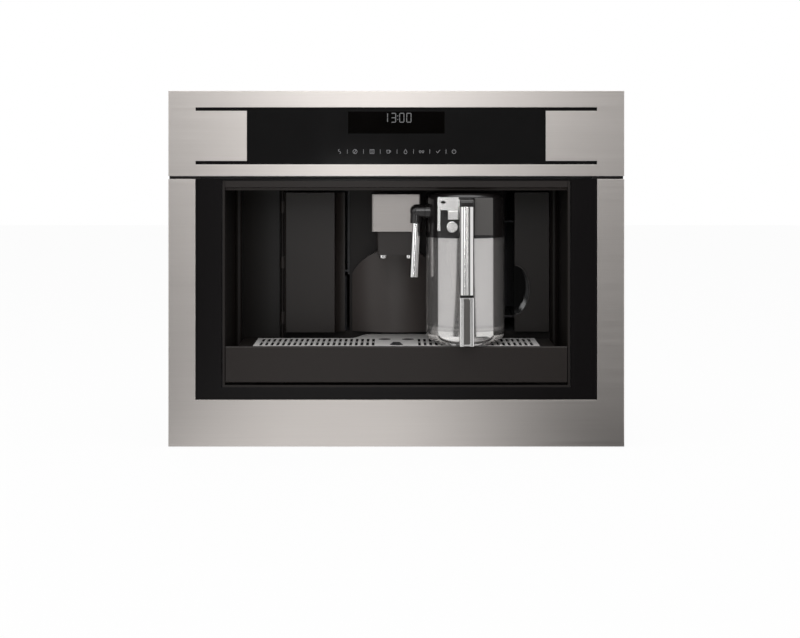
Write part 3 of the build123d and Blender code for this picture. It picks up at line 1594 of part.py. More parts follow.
def water_pump():
    """Vibration pump lying on the base: coil block, core tube, necks and two saddle feet."""
    axis_z = pan_top + pump_lift
    coil = round_rect(pump_y - coil_half_depth, pump_y + coil_half_depth, axis_z - coil_half_length,
                      axis_z + coil_half_length, coil_corner)
    pump = along_x(coil, pump_x - coil_half_length, pump_x + coil_half_length)
    pump += rod_x(core_radius, pump_x - core_half_length, pump_x + core_half_length, pump_y, axis_z)
    pump += rod_x(neck_radius, pump_x - neck_half_length, pump_x + neck_half_length, pump_y, axis_z)
    saddle = round_rect(pump_y - saddle_half_depth, pump_y + saddle_half_depth, pan_top,
                        axis_z + saddle_over_axis, saddle_corner)
    for x in (pump_x - saddle_x, pump_x + saddle_x):
        pump += along_x(saddle, x - saddle_half_thickness, x + saddle_half_thickness)
    return pump


def power_board():
    """Power circuit board on its standoffs, with transformer, relays and capacitors."""
    left = power_board_left
    right = left + power_board_width
    back = body_back - power_board_rear_space
    front = back - power_board_depth
    low = pan_top + standoff_height
    top = low + board_thickness
    board = block(left, right, front, back, low, top)
    for x in (left + standoff_inset, right - standoff_inset):
        for y in (front + standoff_inset, back - standoff_inset):
            board += rod_z(standoff_radius, pan_top, low, x, y)
    core_x = left + transformer_left
    core_y = back - transformer_rear
    board += block(core_x, core_x + transformer_width, core_y - transformer_depth, core_y,
                   top, top + transformer_height)
    relay_y = back - relay_rear
    for index in range(relay_count):
        relay_x = left + relay_left + index * relay_pitch
        board += block(relay_x, relay_x + relay_width, relay_y - relay_depth, relay_y, top, top + relay_height)
    for index in range(capacitor_count):
        board += rod_z(capacitor_radius, top, top + capacitor_height,
                       left + capacitor_left + index * capacitor_pitch, front + capacitor_front)
    return board


def power_inlet():
    """Inlet module on the rear: flange, plug recess with three blades, rocker frame above."""
    flange = round_rect(inlet_x - inlet_half_width, inlet_x + inlet_half_width, inlet_z - inlet_low,
                        rocker_z + inlet_high, inlet_corner)
    body = round_rect(inlet_x - inlet_body_half_width, inlet_x + inlet_body_half_width, inlet_z - inlet_body_low,
                      rocker_z + inlet_body_high, inlet_body_corner)
    module = along_y(flange, body_back, rear_face) + along_y(body, body_back - inlet_body_depth, body_back)
    half = plug_width / 2
    top = plug_height / 2
    recess = Polyline((-half, -top), (half, -top), (half, top - plug_key), (half - plug_key, top),
                      (plug_key - half, top), (-half, top - plug_key), (-half, -top))
    recess_floor = rear_face - plug_depth
    module -= along_y(Pos(inlet_x, inlet_z) * make_face(recess), recess_floor, rear_face)
    for offset_x, offset_z in ((-blade_x, -blade_drop), (blade_x, -blade_drop), (0, earth_rise)):
        blade = Pos(inlet_x + offset_x, inlet_z + offset_z) * Rectangle(blade_thickness, blade_height)
        module += along_y(blade, recess_floor, rear_face - blade_recess)
    window = Pos(inlet_x, rocker_z) * Rectangle(rocker_width + 2 * rocker_air, rocker_height + 2 * rocker_air)
    module -= along_y(window, rear_face - rocker_pocket, rear_face)
    return module + rod_x(rocker_pin_radius, inlet_x - rocker_pin_half, inlet_x + rocker_pin_half, rocker_y, rocker_z)


def power_switch():
    """Rocker in its off position, with a dished face, on the module's pin."""
    half = rocker_height / 2 - rocker_trim
    tail = half - rocker_tail_taper
    outline = Line((-rocker_tail, -tail), (rocker_nose, -half))
    outline += ThreePointArc((rocker_nose, -half), (rocker_nose - rocker_dish, 0), (rocker_nose, half))
    outline += Polyline((rocker_nose, half), (-rocker_tail, tail), (-rocker_tail, -tail))
    section = make_face(outline) - Circle(rocker_pin_radius + fit_gap)
    rocker = along_x(section, -rocker_width / 2, rocker_width / 2)
    return Pos(inlet_x, rocker_y, rocker_z) * Rot(-rocker_tilt, 0, 0) * rocker


# ---- Sheet metal chassis ----
def front_carrier():
    """Moulded frame between the steel front and the chassis, with the cavity's window."""
    outline = rect(-half_body + sheet, half_body - sheet, skid_height, body_top)
    side = half_cavity + liner_wall + seat_gap
    window = rect(-side, side, plinth_top - seat_gap, lintel_top + seat_gap)
    return along_y(outline - window, front_depth, chassis_front)


def skid_profile(inset):
    """Cross-section of the right skid, smaller by the sheet's thickness for its hollow side."""
    top = skid_height + inset
    wide = skid_half_top - inset
    narrow = skid_half_foot - inset
    return Pos(skid_x, 0) * make_face(Polyline((-wide, top), (-narrow, inset), (narrow, inset), (wide, top),
                                               (-wide, top)))


def base_pan():
    """Pressed base with two long skids, upstanding sides and drain holes."""
    half = half_body - sheet
    back = body_back - sheet
    skid_front = chassis_front + skid_front_gap
    skid_back = body_back - skid_back_gap
    pan = block(-half, half, chassis_front, back, skid_height, pan_top)
    skid = along_y(skid_profile(0), skid_front, skid_back)
    hollow = along_y(skid_profile(sheet), skid_front + sheet, skid_back - sheet)
    side = block(half - sheet, half, chassis_front, back, skid_height, skid_height + pan_side_height)
    pan += skid + mirrored(skid) + side + mirrored(side)
    pan -= hollow + mirrored(hollow)
    for hole_x in (-drain_pitch, 0, drain_pitch):
        pan -= rod_z(drain_radius, skid_height, pan_top, hole_x, drain_y)
    return pan


def side_panels():
    """Both side panels, with vent slots and the runners' screw holes."""
    inner = half_body - sheet
    panel = along_x(rect(chassis_front, body_back, skid_height, body_top - sheet), inner, half_body)
    slots = []
    for index in range(side_vent_count):
        vent_y = body_back - side_vent_rear_space + index * side_vent_pitch
        slots.append(Pos(vent_y, shelf_top - side_vent_drop) * Rectangle(side_vent_width, side_vent_height))
    panel -= along_x(Sketch() + slots, inner, half_body)
    panel = runner_screw_holes(panel, inner, half_body)
    return panel + mirrored(panel)


def rear_panel():
    """Rear panel with two fields of vent slots and the inlet module's cut-out."""
    half = half_body - sheet
    front = body_back - sheet
    panel = along_y(rect(-half, half, pan_top, body_top - sheet), front, body_back)
    slots = []
    for row in range(rear_vent_count):
        vent_z = shelf_top - rear_vent_drop + row * rear_vent_pitch
        for vent_x in (-rear_vent_x, rear_vent_x):
            slots.append(Pos(vent_x, vent_z) * Rectangle(rear_vent_width, rear_vent_height))
    panel -= along_y(Sketch() + slots, front, body_back)
    side = inlet_body_half_width + seat_gap
    cut = rect(inlet_x - side, inlet_x + side, inlet_z - inlet_body_low - seat_gap,
               rocker_z + inlet_body_high + seat_gap)
    return panel - along_y(cut, front, body_back)


def top_cover():
    """Top cover with the hopper mouth, funnel mouth and hinge ears."""
    cover = block(-half_body, half_body, chassis_front, body_back, body_top - sheet, body_top)
    holes = hopper_mouth() + Pos(funnel_x, funnel_y) * Circle(funnel_top_radius - funnel_wall)
    holes += Pos(knob_x, knob_y) * Circle(knob_shaft_radius + fit_gap)
    cover -= along_z(holes, body_top - sheet, body_top)
    cover += pivot_ears(hopper_left - top_lid_margin, hopper_right + top_lid_margin, hopper_back + top_lid_margin)
    return cover + pivot_ears(flap_left, flap_right, flap_back)


def deck():
    """Folded sheet deck over the base space: top plate with a front and a rear leg."""
    half = half_body - sheet - deck_side_gap
    front = liner_back + deck_front_gap
    back = body_back - sheet - deck_rear_gap
    profile = rect(front, back, pan_top, deck_top) - rect(front + sheet, back - sheet, pan_top, deck_top - sheet)
    window = rect(inlet_x - inlet_window_side, inlet_x + inlet_window_side, inlet_z - inlet_window_side,
                  rocker_z + inlet_window_top)
    return along_x(profile, -half, half) - along_y(window, back - sheet, back)


def upper_shelf():
    """Shelf over both bays that carries grinder, gear motor and funnel."""
    half = half_body - sheet - deck_side_gap
    front = liner_back + deck_front_gap
    shelf = block(-half, half, front, body_back - sheet - deck_rear_gap, shelf_bottom, shelf_top)
    shelf += block(-half, half, front, front + sheet, shelf_top, shelf_top + shelf_lip)
    for x, y, radius in ((grinder_x, grinder_y, shaft_radius + shelf_hole_gap),
                         (brew_x, spindle_y, spindle_radius + shelf_hole_gap),
                         (funnel_x, funnel_y, funnel_tube_radius + seat_gap)):
        shelf -= rod_z(radius, shelf_bottom, shelf_top, x, y)
    return shelf


# ---- Telescopic runners: the right side, and its mirror image ----
def runner_channel(web_inner, web_outer, flange_end, half_height):
    """Channel section: web between two X limits and flanges that reach to a third."""
    web = rect(runner_start, runner_end, runner_centre - half_height, runner_centre + half_height)
    channel = along_x(web, min(web_inner, flange_end), max(web_outer, flange_end))
    inner_half = half_height - runner_wall
    hollow = rect(runner_start, runner_end, runner_centre - inner_half, runner_centre + inner_half)
    if flange_end < web_inner:
        return channel - along_x(hollow, flange_end, web_inner)
    return channel - along_x(hollow, web_outer, flange_end)


def runner_screw_holes(shape, x0, x1):
    """Take both screw holes of a runner out of a web or panel."""
    for hole_y in runner_holes:
        shape -= rod_x(runner_hole_radius, x0, x1, hole_y, runner_centre)
    return shape


def cabinet_runners():
    """Cabinet members: the widest channels, screwed to the sides of the niche."""
    outer = niche_width / 2
    channel = runner_channel(outer - runner_wall, outer, half_body + runner_side_gap, runner_height / 2)
    channel = runner_screw_holes(channel, outer - runner_wall, outer)
    return channel + mirrored(channel)


def middle_runners():
    """Middle members, nested in the cabinet members."""
    step = runner_wall + slide_gap
    outer = niche_width / 2 - step
    channel = runner_channel(outer - runner_wall, outer, half_body + runner_side_gap, runner_height / 2 - step)
    return channel + mirrored(channel)


def inner_runners():
    """Machine members, screwed to the side panels and nested in the middle members."""
    step = 2 * (runner_wall + slide_gap)
    channel = runner_channel(half_body, half_body + runner_wall, niche_width / 2 - step, runner_height / 2 - step)
    channel = runner_screw_holes(channel, half_body, half_body + runner_wall)
    return channel + mirrored(channel)


# ---- Build every piece ----
PIECES = (
    cabinet_runners, middle_runners, inner_runners, front_frame, control_fascia, control_glass,
    control_board, front_carrier, front_bezel, lintel_strip, cavity_liner, cup_lights, left_cover,
    centre_column, service_door, spout_cover, spout_body, spout_nozzles, drip_tray, tray_front,
    drip_grille, level_float, jug_glass, jug_lid, lid_escutcheon, froth_regulator, clean_button,
    jug_handle, handle_bracket, milk_intake_tube, milk_elbow, milk_spout_tube, steam_nozzle,
    water_tank, tank_panel, rear_bays, grounds_container, infuser_frame, brew_carriage, brew_spindle,
    brew_motor, grinder_housing, lower_burr, grinder_motor, powder_funnel, bean_hopper, hopper_lid,
    powder_flap, grind_knob, boiler, water_pump, power_board, power_inlet, power_switch, deck,
    upper_shelf, base_pan, side_panels, rear_panel, top_cover,
)

os.makedirs("parts", exist_ok=True)
for make_piece in PIECES:
    save(make_piece.__name__, make_piece())
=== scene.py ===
# %% [markdown]
# # A built-in coffee machine, dressed in Blender
# The measured model arrives as a fixed frame of named pieces. This lesson gives every piece
# its finish, adds the small printed and fastened details that a measured model leaves out,
# and sets up one plain studio. Lengths are metres, +Z is up and +Y runs into the kitchen unit.

# %% Load the frame
import math

import bmesh
import bpy
from mathutils import Matrix, Vector


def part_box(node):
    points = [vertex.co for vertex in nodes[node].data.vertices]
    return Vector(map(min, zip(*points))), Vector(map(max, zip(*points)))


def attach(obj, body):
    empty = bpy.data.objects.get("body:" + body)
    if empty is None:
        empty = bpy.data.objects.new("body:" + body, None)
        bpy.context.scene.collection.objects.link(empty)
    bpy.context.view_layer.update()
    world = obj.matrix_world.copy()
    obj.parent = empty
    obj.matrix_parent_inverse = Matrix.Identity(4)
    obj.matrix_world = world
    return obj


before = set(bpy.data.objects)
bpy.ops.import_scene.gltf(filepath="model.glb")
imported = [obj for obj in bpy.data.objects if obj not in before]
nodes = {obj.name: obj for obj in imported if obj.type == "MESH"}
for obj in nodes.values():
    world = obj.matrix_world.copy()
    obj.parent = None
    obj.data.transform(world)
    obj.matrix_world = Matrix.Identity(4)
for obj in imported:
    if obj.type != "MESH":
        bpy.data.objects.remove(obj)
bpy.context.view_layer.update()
MM = 0.001
STEEL_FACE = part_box("control_fascia")[0].y
print("pieces in the frame:", len(nodes), "| steel face at y =", round(STEEL_FACE, 4))

# %% [markdown]
# ## A place on the machine
# The front of the machine is read most easily in millimetres: across from its middle, in from
# the steel face, and up from the floor of the niche. Every piece could repeat that sum, but
# then a change to it would have to be made everywhere. One helper turns a place into metres.

# %% Millimetres on the machine to metres in the scene
def at(x, y, z):
    return Vector((x * MM, STEEL_FACE + y * MM, z * MM))


print("middle of the fascia:", tuple(round(v, 3) for v in at(0, 0, 410)))

# %% [markdown]
# ## Shader maths as plain expressions
# A finish is a little arithmetic on noise and position. Wrapping a socket in a class lets that
# arithmetic be written as an expression: each operator adds the Math node that it stands for.
# Colours take another road, through Mix nodes, because a Math node would turn them grey.

# %% The socket class
class Wire:
    """One output socket of a node, with arithmetic."""

    def __init__(self, tree, socket):
        self.tree = tree
        self.socket = socket

    def out(self, name):
        """Another output of the same node."""
        return Wire(self.tree, self.socket.node.outputs[name])

    def maths(self, operation, first, second=None, clamp=False):
        made = self.tree.nodes.new("ShaderNodeMath")
        made.operation = operation
        made.use_clamp = clamp
        for index, value in enumerate((first, second)):
            if isinstance(value, Wire):
                self.tree.links.new(value.socket, made.inputs[index])
            elif value is not None:
                made.inputs[index].default_value = value
        return Wire(self.tree, made.outputs[0])

    def __add__(self, other):
        return self.maths("ADD", self, other)

    def __radd__(self, other):
        return self.maths("ADD", other, self)

    def __sub__(self, other):
        return self.maths("SUBTRACT", self, other)

    def __rsub__(self, other):
        return self.maths("SUBTRACT", other, self)

    def __mul__(self, other):
        return self.maths("MULTIPLY", self, other)

    def __rmul__(self, other):
        return self.maths("MULTIPLY", other, self)

    def __abs__(self):
        return self.maths("ABSOLUTE", self)

    def __lt__(self, other):
        return self.maths("LESS_THAN", self, other)

    def __gt__(self, other):
        return self.maths("GREATER_THAN", self, other)

    def larger(self, other):
        return self.maths("MAXIMUM", self, other)

    def clamped(self):
        return self.maths("ADD", self, 0.0, clamp=True)

    def fade(self, start, end, first, last):
        """A soft step from the first number to the last, while the wire runs start to end."""
        return add_node(self.tree, "ShaderNodeMapRange", {"interpolation_type": "SMOOTHSTEP"},
                        Value=self, From_Min=start, From_Max=end, To_Min=first, To_Max=last)


print("a wire can:", [name.strip("_") for name in vars(Wire) if callable(getattr(Wire, name))])

# %% [markdown]
# ## Any other node
# Noise, ramps, bevels and mixes all take the same steps: make the node, choose its mode, fill
# its inputs. Each could be written out, but one function keeps the finishes short. It sets the
# mode first, because a mode can change which inputs a node has.

# %% Add any node
def add_node(tree, kind, settings=None, out=0, **inputs):
    """Inputs are values or wires, by name (_ for a blank) or as in_ and a number."""
    made = tree.nodes.new(kind)
    for key, value in (settings or {}).items():
        if key == "stops":
            for stop, (place, colour) in zip(made.color_ramp.elements, value):
                stop.position = place
                stop.color = (*colour, 1.0)
        else:
            setattr(made, key, value)
    for key, value in inputs.items():
        socket = made.inputs[int(key[3:]) if key.startswith("in_") else key.replace("_", " ")]
        if isinstance(value, Wire):
            tree.links.new(value.socket, socket)
        else:
            socket.default_value = value
    return Wire(tree, made.outputs[out])


print("nodes come from", add_node.__name__, "and Math nodes from a wire's operators")

# %% [markdown]
# ## A finish starts from one shader
# Every finish is one Principled shader. Values that are the same all over are set on its own
# sockets. What varies comes as wires: colour, roughness, metal, glow, and a height for a Bump
# node. A Bevel node under the bump catches light along edges, as the small radius of a real
# edge does, and leaves the measured mesh alone.

# %% Build a finish
FINISHES = {}


class Finish:
    """A material that is being built, with its position wire at hand."""

    def __init__(self, name, **values):
        self.material = bpy.data.materials.new(name)
        self.material.use_nodes = True
        self.tree = self.material.node_tree
        self.shader = self.tree.nodes["Principled BSDF"]
        for key, value in values.items():
            self.shader.inputs[key.replace("_", " ")].default_value = value
        self.place = add_node(self.tree, "ShaderNodeTexCoord", out="Object")
        FINISHES[name] = self.material

    def axes(self):
        split = add_node(self.tree, "ShaderNodeSeparateXYZ", Vector=self.place)
        return split.out("X"), split.out("Y"), split.out("Z")

    def noise(self, scale, detail=3.0, stretch=(1, 1, 1), roughness=0.5):
        spot = add_node(self.tree, "ShaderNodeMapping", Vector=self.place, Scale=stretch)
        return add_node(self.tree, "ShaderNodeTexNoise", Vector=spot, Scale=scale, Detail=detail,
                        Roughness=roughness)

    def cells(self, scale, out, feature="F1"):
        return add_node(self.tree, "ShaderNodeTexVoronoi", {"feature": feature}, out=out,
                        Vector=self.place, Scale=scale)

    def colours(self, factor, low, high):
        return add_node(self.tree, "ShaderNodeValToRGB", {"stops": [(0.0, low), (1.0, high)]},
                        Fac=factor)

    def layer(self, mask, under, over):
        """Put a colour over the colours of a wire, where the mask is 1."""
        return add_node(self.tree, "ShaderNodeMix", {"data_type": "RGBA"}, out=2, in_0=mask,
                        in_6=under, in_7=(*over, 1.0))

    def cover(self, mask, over):
        """Put a colour over what the finish already shows."""
        under = Wire(self.tree, self.shader.inputs["Base Color"].links[0].from_socket)
        self.feed(Base_Color=self.layer(mask, under, over))

    def feed(self, **wires):
        for key, wire in wires.items():
            self.tree.links.new(wire.socket, self.shader.inputs[key.replace("_", " ")])

    def bump(self, height, depth, strength, edge=0.0):
        under = {}
        if edge:
            under["Normal"] = add_node(self.tree, "ShaderNodeBevel", {"samples": 4}, Radius=edge)
        self.feed(Normal=add_node(self.tree, "ShaderNodeBump", Strength=strength, Distance=depth,
                                  Height=height, **under))
        return self


def inside_ellipse(across, along, half_across, half_along):
    """A mask that is 1 inside an ellipse, from two wires measured from its middle."""
    across, along = across * (1 / half_across), along * (1 / half_along)
    return (across * across + along * along) < 1.0


print("a finish can vary: Base Color, Roughness, Metallic, Emission Color, Normal")

# %% [markdown]
# ## Brushed steel
# The front is sheet steel, ground along its length. An anisotropic shader could stretch its
# highlights, but it shows no scratches. The scratches are far finer than a pixel, so they are
# noise stretched hard along X: it moves the roughness, the tint and a shallow bump. A second,
# slow noise gives the faint clouds that a hand leaves on real steel.

# %% Steel finishes
def brushed(name, tint, rough, along=(0.6, 90, 90), tone=0.05, metal=1.0):
    look = Finish(name, Metallic=metal)
    grain = look.noise(14.0, detail=6.0, stretch=along, roughness=0.7)
    cloud = look.noise(5.0, detail=2.0)
    shade = (grain * 0.75 + cloud * 0.25).clamped()
    dark, light = ([c + step for c in tint] for step in (-tone, tone))
    look.feed(Base_Color=look.colours(shade, dark, light),
              Roughness=grain * 0.18 + (rough - 0.09))
    return look.bump(grain, 0.04 * MM, strength=0.35, edge=0.6 * MM)


ALONG_Y, ALONG_Z = (90, 0.6, 90), (90, 90, 0.6)
brushed("steel_front", (0.565, 0.530, 0.505), 0.34)
brushed("steel_spout", (0.32, 0.300, 0.288), 0.38)
brushed("steel_runner", (0.55, 0.56, 0.57), 0.33, along=ALONG_Y, tone=0.03)
brushed("steel_machined", (0.60, 0.60, 0.60), 0.22, along=ALONG_Z, tone=0.03)
brushed("handle_channel", (0.12, 0.115, 0.11), 0.40, along=ALONG_Z, tone=0.02)
print("steel finishes:", len(FINISHES))

# %% [markdown]
# ## The cup grille
# The grille is a brushed plate full of slots, with two finger holes. On the real one the walls
# of the slots lie in their own shade, far deeper than a soft lamp shows. Each wall could get a
# material of its own, but the measured mesh keeps one slot, so that shade is painted into the
# finish: painted shade just under the plate's top, and in ellipses round the two finger holes'
# lips.

# %% Grille steel
HOLE_X, HOLE_INWARD = 15.9 * MM, 64.1 * MM
# half sizes of the painted shade round each finger hole, a little larger than the hole itself
HOLE_SHADE_HALF_X, HOLE_SHADE_HALF_Y = 8.4 * MM, 9.2 * MM


def grille_steel():
    look = brushed("steel_grille", (0.88, 0.86, 0.845), 0.42, along=ALONG_Y, metal=0.1)
    x, y, z = look.axes()
    plate_back_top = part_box("drip_grille")[1]
    hole_y = plate_back_top.y - HOLE_INWARD
    # painted shade: the plate turns dark round the finger holes and on the slot walls under its
    # top
    hole_shade = inside_ellipse(abs(x) - HOLE_X, y - hole_y, HOLE_SHADE_HALF_X, HOLE_SHADE_HALF_Y)
    look.cover(hole_shade.larger(z < plate_back_top.z - 0.3 * MM), (0.030, 0.027, 0.026))
    print("grille holes at y =", round(hole_y, 4))


grille_steel()

# %% [markdown]
# ## Polished, plated and silvered
# Handle, milk spout and nozzles are chrome; the angle on the lid is a duller silver plating.
# Chrome shows only what stands round it. With no roughness at all it looks drawn, so its
# finish is a breath of roughness from a fine haze and the smallest ripple. Its edges are
# rounded far less than those of the sheet steel, or the handle's narrow groove would blur.

# %% Chrome and silver
def plated(name, tint, rough, metallic=1.0, ripple=0.005 * MM):
    look = Finish(name, Metallic=metallic)
    wave = look.noise(60.0, detail=2.0)
    haze = look.noise(220.0, detail=4.0)
    look.feed(Base_Color=look.colours(haze, [c * 0.94 for c in tint], tint),
              Roughness=haze * 0.08 + (rough - 0.04))
    look.bump(wave, ripple, strength=0.25, edge=0.1 * MM)


plated("chrome", (0.88, 0.87, 0.86), 0.16, ripple=0.001 * MM)
plated("silvered", (0.68, 0.67, 0.66), 0.24)
plated("screw_zinc", (0.60, 0.60, 0.61), 0.30)
plated("silvered_dull", (0.10, 0.095, 0.092), 0.42, metallic=0.6)
plated("cast_alloy", (0.62, 0.62, 0.61), 0.38, ripple=0.1 * MM)
print("finishes so far:", len(FINISHES))

# %% [markdown]
# ## Moulded plastic
# Most of the cavity is dark plastic with a spark-eroded grain: shallow cells under a millimetre.
# Grain that fine would cost millions of faces as a mesh, so it is a bump from fine noise. The
# sheen wanders a little with a slow noise, as it does where a mould is worn and hands have
# been. A low specular level keeps dark parts dark where the bright room would wash over them.

# %% Plastic finishes
def moulded(name, tint, rough, grain=1600.0, depth=0.03 * MM, level=0.5):
    look = Finish(name, Specular_IOR_Level=level)
    skin = look.noise(grain, detail=2.0)
    wear = look.noise(9.0, detail=4.0)
    look.feed(Base_Color=look.colours(wear, [c * 0.9 for c in tint], [c * 1.1 for c in tint]),
              Roughness=(wear * 0.04 + (rough - 0.02)).clamped())
    look.bump(skin, depth, strength=0.4, edge=0.7 * MM)


POLISHED = 0.01 * MM
moulded("cavity_plastic", (0.0140, 0.0112, 0.0102), 0.42, level=0.2)
# painted shade: the left cover gets a darker tint than the door beside it, for the shadow it
# lies in
moulded("cover_plastic_painted_shade", (0.016, 0.014, 0.013), 0.42, level=0.25)
moulded("panel_plastic", (0.0275, 0.0222, 0.0200), 0.36, level=0.3)
moulded("spout_plastic", (0.030, 0.0255, 0.0240), 0.40, level=0.3)
moulded("column_plastic", (0.077, 0.066, 0.062), 0.40, level=0.35)
moulded("tray_plastic", (0.0185, 0.0148, 0.0134), 0.36, level=0.22)
moulded("gloss_plastic", (0.0060, 0.0052, 0.0054), 0.22, depth=POLISHED, level=0.12)
moulded("lid_plastic", (0.012, 0.0105, 0.0105), 0.17, depth=POLISHED)
moulded("inner_plastic", (0.075, 0.075, 0.080), 0.50)
moulded("pale_plastic", (0.74, 0.72, 0.68), 0.35)
moulded("knob_plastic", (0.05, 0.05, 0.052), 0.42)
moulded("switch_plastic", (0.025, 0.025, 0.026), 0.30)
moulded("coated_motor", (0.16, 0.17, 0.18), 0.40, grain=500.0)
print("finishes so far:", len(FINISHES))

# %% [markdown]
# ## The touch glass and its display
# The glass is one black sheet. The display shows as a blacker, slightly browner field in it. A
# second piece could lie on the glass, but the field has no edge to feel, so the same finish
# holds both: a mask cut from the position lays one colour over the other.

# %% Black glass
DISPLAY_HALF, DISPLAY_LOW, DISPLAY_HIGH = 63.0, 410.3, 439.0


def touch_glass():
    look = Finish("touch_glass", Specular_IOR_Level=0.10, IOR=1.5)
    x, _, z = look.axes()
    field = (abs(x) < DISPLAY_HALF * MM) * (z > DISPLAY_LOW * MM) * (z < DISPLAY_HIGH * MM)
    haze = look.noise(30.0, detail=5.0)
    body = look.colours(haze, (0.0080, 0.0078, 0.0079), (0.0096, 0.0094, 0.0094))
    look.feed(Base_Color=look.layer(field, body, (0.0010, 0.0007, 0.0005)),
              Roughness=haze * 0.05 + 0.07)
    look.bump(look.noise(4.0, detail=1.0), 0.02 * MM, strength=0.2, edge=0.5 * MM)


touch_glass()
print("display field:", DISPLAY_HALF * 2, "by", round(DISPLAY_HIGH - DISPLAY_LOW, 1), "mm")

# %% [markdown]
# ## The glass of the jug
# Pure glass in a black cavity turns black, while the real jug stands pale before it: its round
# wall mirrors the bright room at each side of the viewer. Painting it pale would look like
# porcelain. So the wall stays clear glass with a share of mirror, from the Metallic socket. The
# thick base, which gathers light, gets a painted highlight: paler and more mirror by a mask on
# the height.

# %% Jug glass
JUG_MIRROR = 0.45
BASE_LOW, BASE_HIGH = 3.0 * MM, 19.5 * MM


def jug_wall():
    look = Finish("jug_clear", Transmission_Weight=0.85, IOR=1.42, Specular_IOR_Level=0.5)
    z = look.axes()[2]
    jug_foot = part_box("jug_glass")[0].z
    streak = look.noise(26.0, detail=3.0, stretch=(1, 1, 0.12))
    # painted highlight: the thick base is painted paler and given more mirror, for the light it
    # gathers
    thick = (z < jug_foot + BASE_HIGH) * (z > jug_foot + BASE_LOW)
    body = look.colours(streak, (0.80, 0.78, 0.77), (0.92, 0.90, 0.89))
    look.feed(Base_Color=look.layer(thick, body, (1.0, 0.98, 0.96)),
              Metallic=thick * 0.2 + JUG_MIRROR, Roughness=(streak * 0.05 + 0.07).clamped())
    look.bump(streak, 0.02 * MM, strength=0.1)
    print("the jug's thick base is", round((BASE_HIGH - BASE_LOW) / MM, 1), "mm high")


jug_wall()

# %% [markdown]
# ## Clear and smoked walls
# Tank, hopper and lamp lenses are clear mouldings. Each is a Principled shader that lets most
# light through and scatters the rest in its own tint, which costs far less time than a volume.
# Drawn streaks run up the walls. The tank's grip is a deep, unlit pocket, so its shade is
# painted:
# the tank's tint turns dark inside the grip's ellipse.

# %% Clear finishes
GRIP_RISE = 58.5 * MM


def clear_wall(name, tint, through, rough):
    look = Finish(name, Transmission_Weight=through, IOR=1.46, Specular_IOR_Level=0.5)
    streak = look.noise(22.0, detail=3.0, stretch=(1, 1, 0.15))
    look.feed(Base_Color=look.colours(streak, [c * 0.93 for c in tint], tint),
              Roughness=(streak * 0.05 + rough).clamped())
    return look.bump(streak, 0.06 * MM, strength=0.15)


def tank_wall():
    look = clear_wall("tank_smoked", (0.30, 0.31, 0.33), 0.88, 0.06)
    x, _, z = look.axes()
    panel_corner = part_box("tank_panel")[0]
    # painted shade: the tank turns dark inside the grip's ellipse, for the shade of its unlit
    # pocket
    grip_shade = inside_ellipse(x - panel_corner.x, z - (panel_corner.z + GRIP_RISE), 21.5 * MM,
                          35.5 * MM)
    look.cover(grip_shade, (0.004, 0.0035, 0.0035))


tank_wall()
clear_wall("hopper_smoked", (0.34, 0.32, 0.30), 0.80, 0.05)
clear_wall("lamp_lens", (0.92, 0.90, 0.86), 0.30, 0.35)
print("finishes so far:", len(FINISHES))

# %% [markdown]
# ## Zinc-coated sheet and circuit boards
# The housing behind the front is zinc-coated sheet. Its spangle is a field of flat crystals.
# Noise would smear them into clouds, so they are the cells of a cell texture, and each gets its
# own shade and its own roughness. The tracks on the circuit boards are the borders between such
# cells, laid paler over the green resist.

# %% Sheet and boards
def zinc_sheet():
    look = Finish("zinc_sheet", Metallic=0.9)
    grey = add_node(look.tree, "ShaderNodeRGBToBW", Color=look.cells(130.0, out="Color"))
    look.feed(Base_Color=look.colours(grey, (0.385, 0.392, 0.397), (0.44, 0.447, 0.452)),
              Roughness=grey * 0.08 + 0.42)
    look.bump(look.noise(300.0, detail=3.0), 0.02 * MM, strength=0.3, edge=0.5 * MM)


def solder_resist():
    look = Finish("solder_resist", Coat_Weight=0.4, Coat_Roughness=0.1)
    track = look.cells(160.0, out="Distance", feature="DISTANCE_TO_EDGE")
    haze = look.noise(40.0)
    green = look.colours(haze, (0.010, 0.075, 0.030), (0.016, 0.100, 0.042))
    look.feed(Base_Color=look.layer(track < 0.05, green, (0.03, 0.16, 0.07)),
              Roughness=haze * 0.1 + 0.3)
    look.bump(track, 0.03 * MM, strength=0.3)


zinc_sheet()
solder_resist()
print("all finishes of the measured pieces:", sorted(FINISHES))

# %% [markdown]
# ## Dress the measured pieces
# The measured pieces keep their shape and only change their clothes. They could be dressed one
# by one, but one table shows at a glance which finish each of them wears, and lets the last
# line check that nothing is left plain.

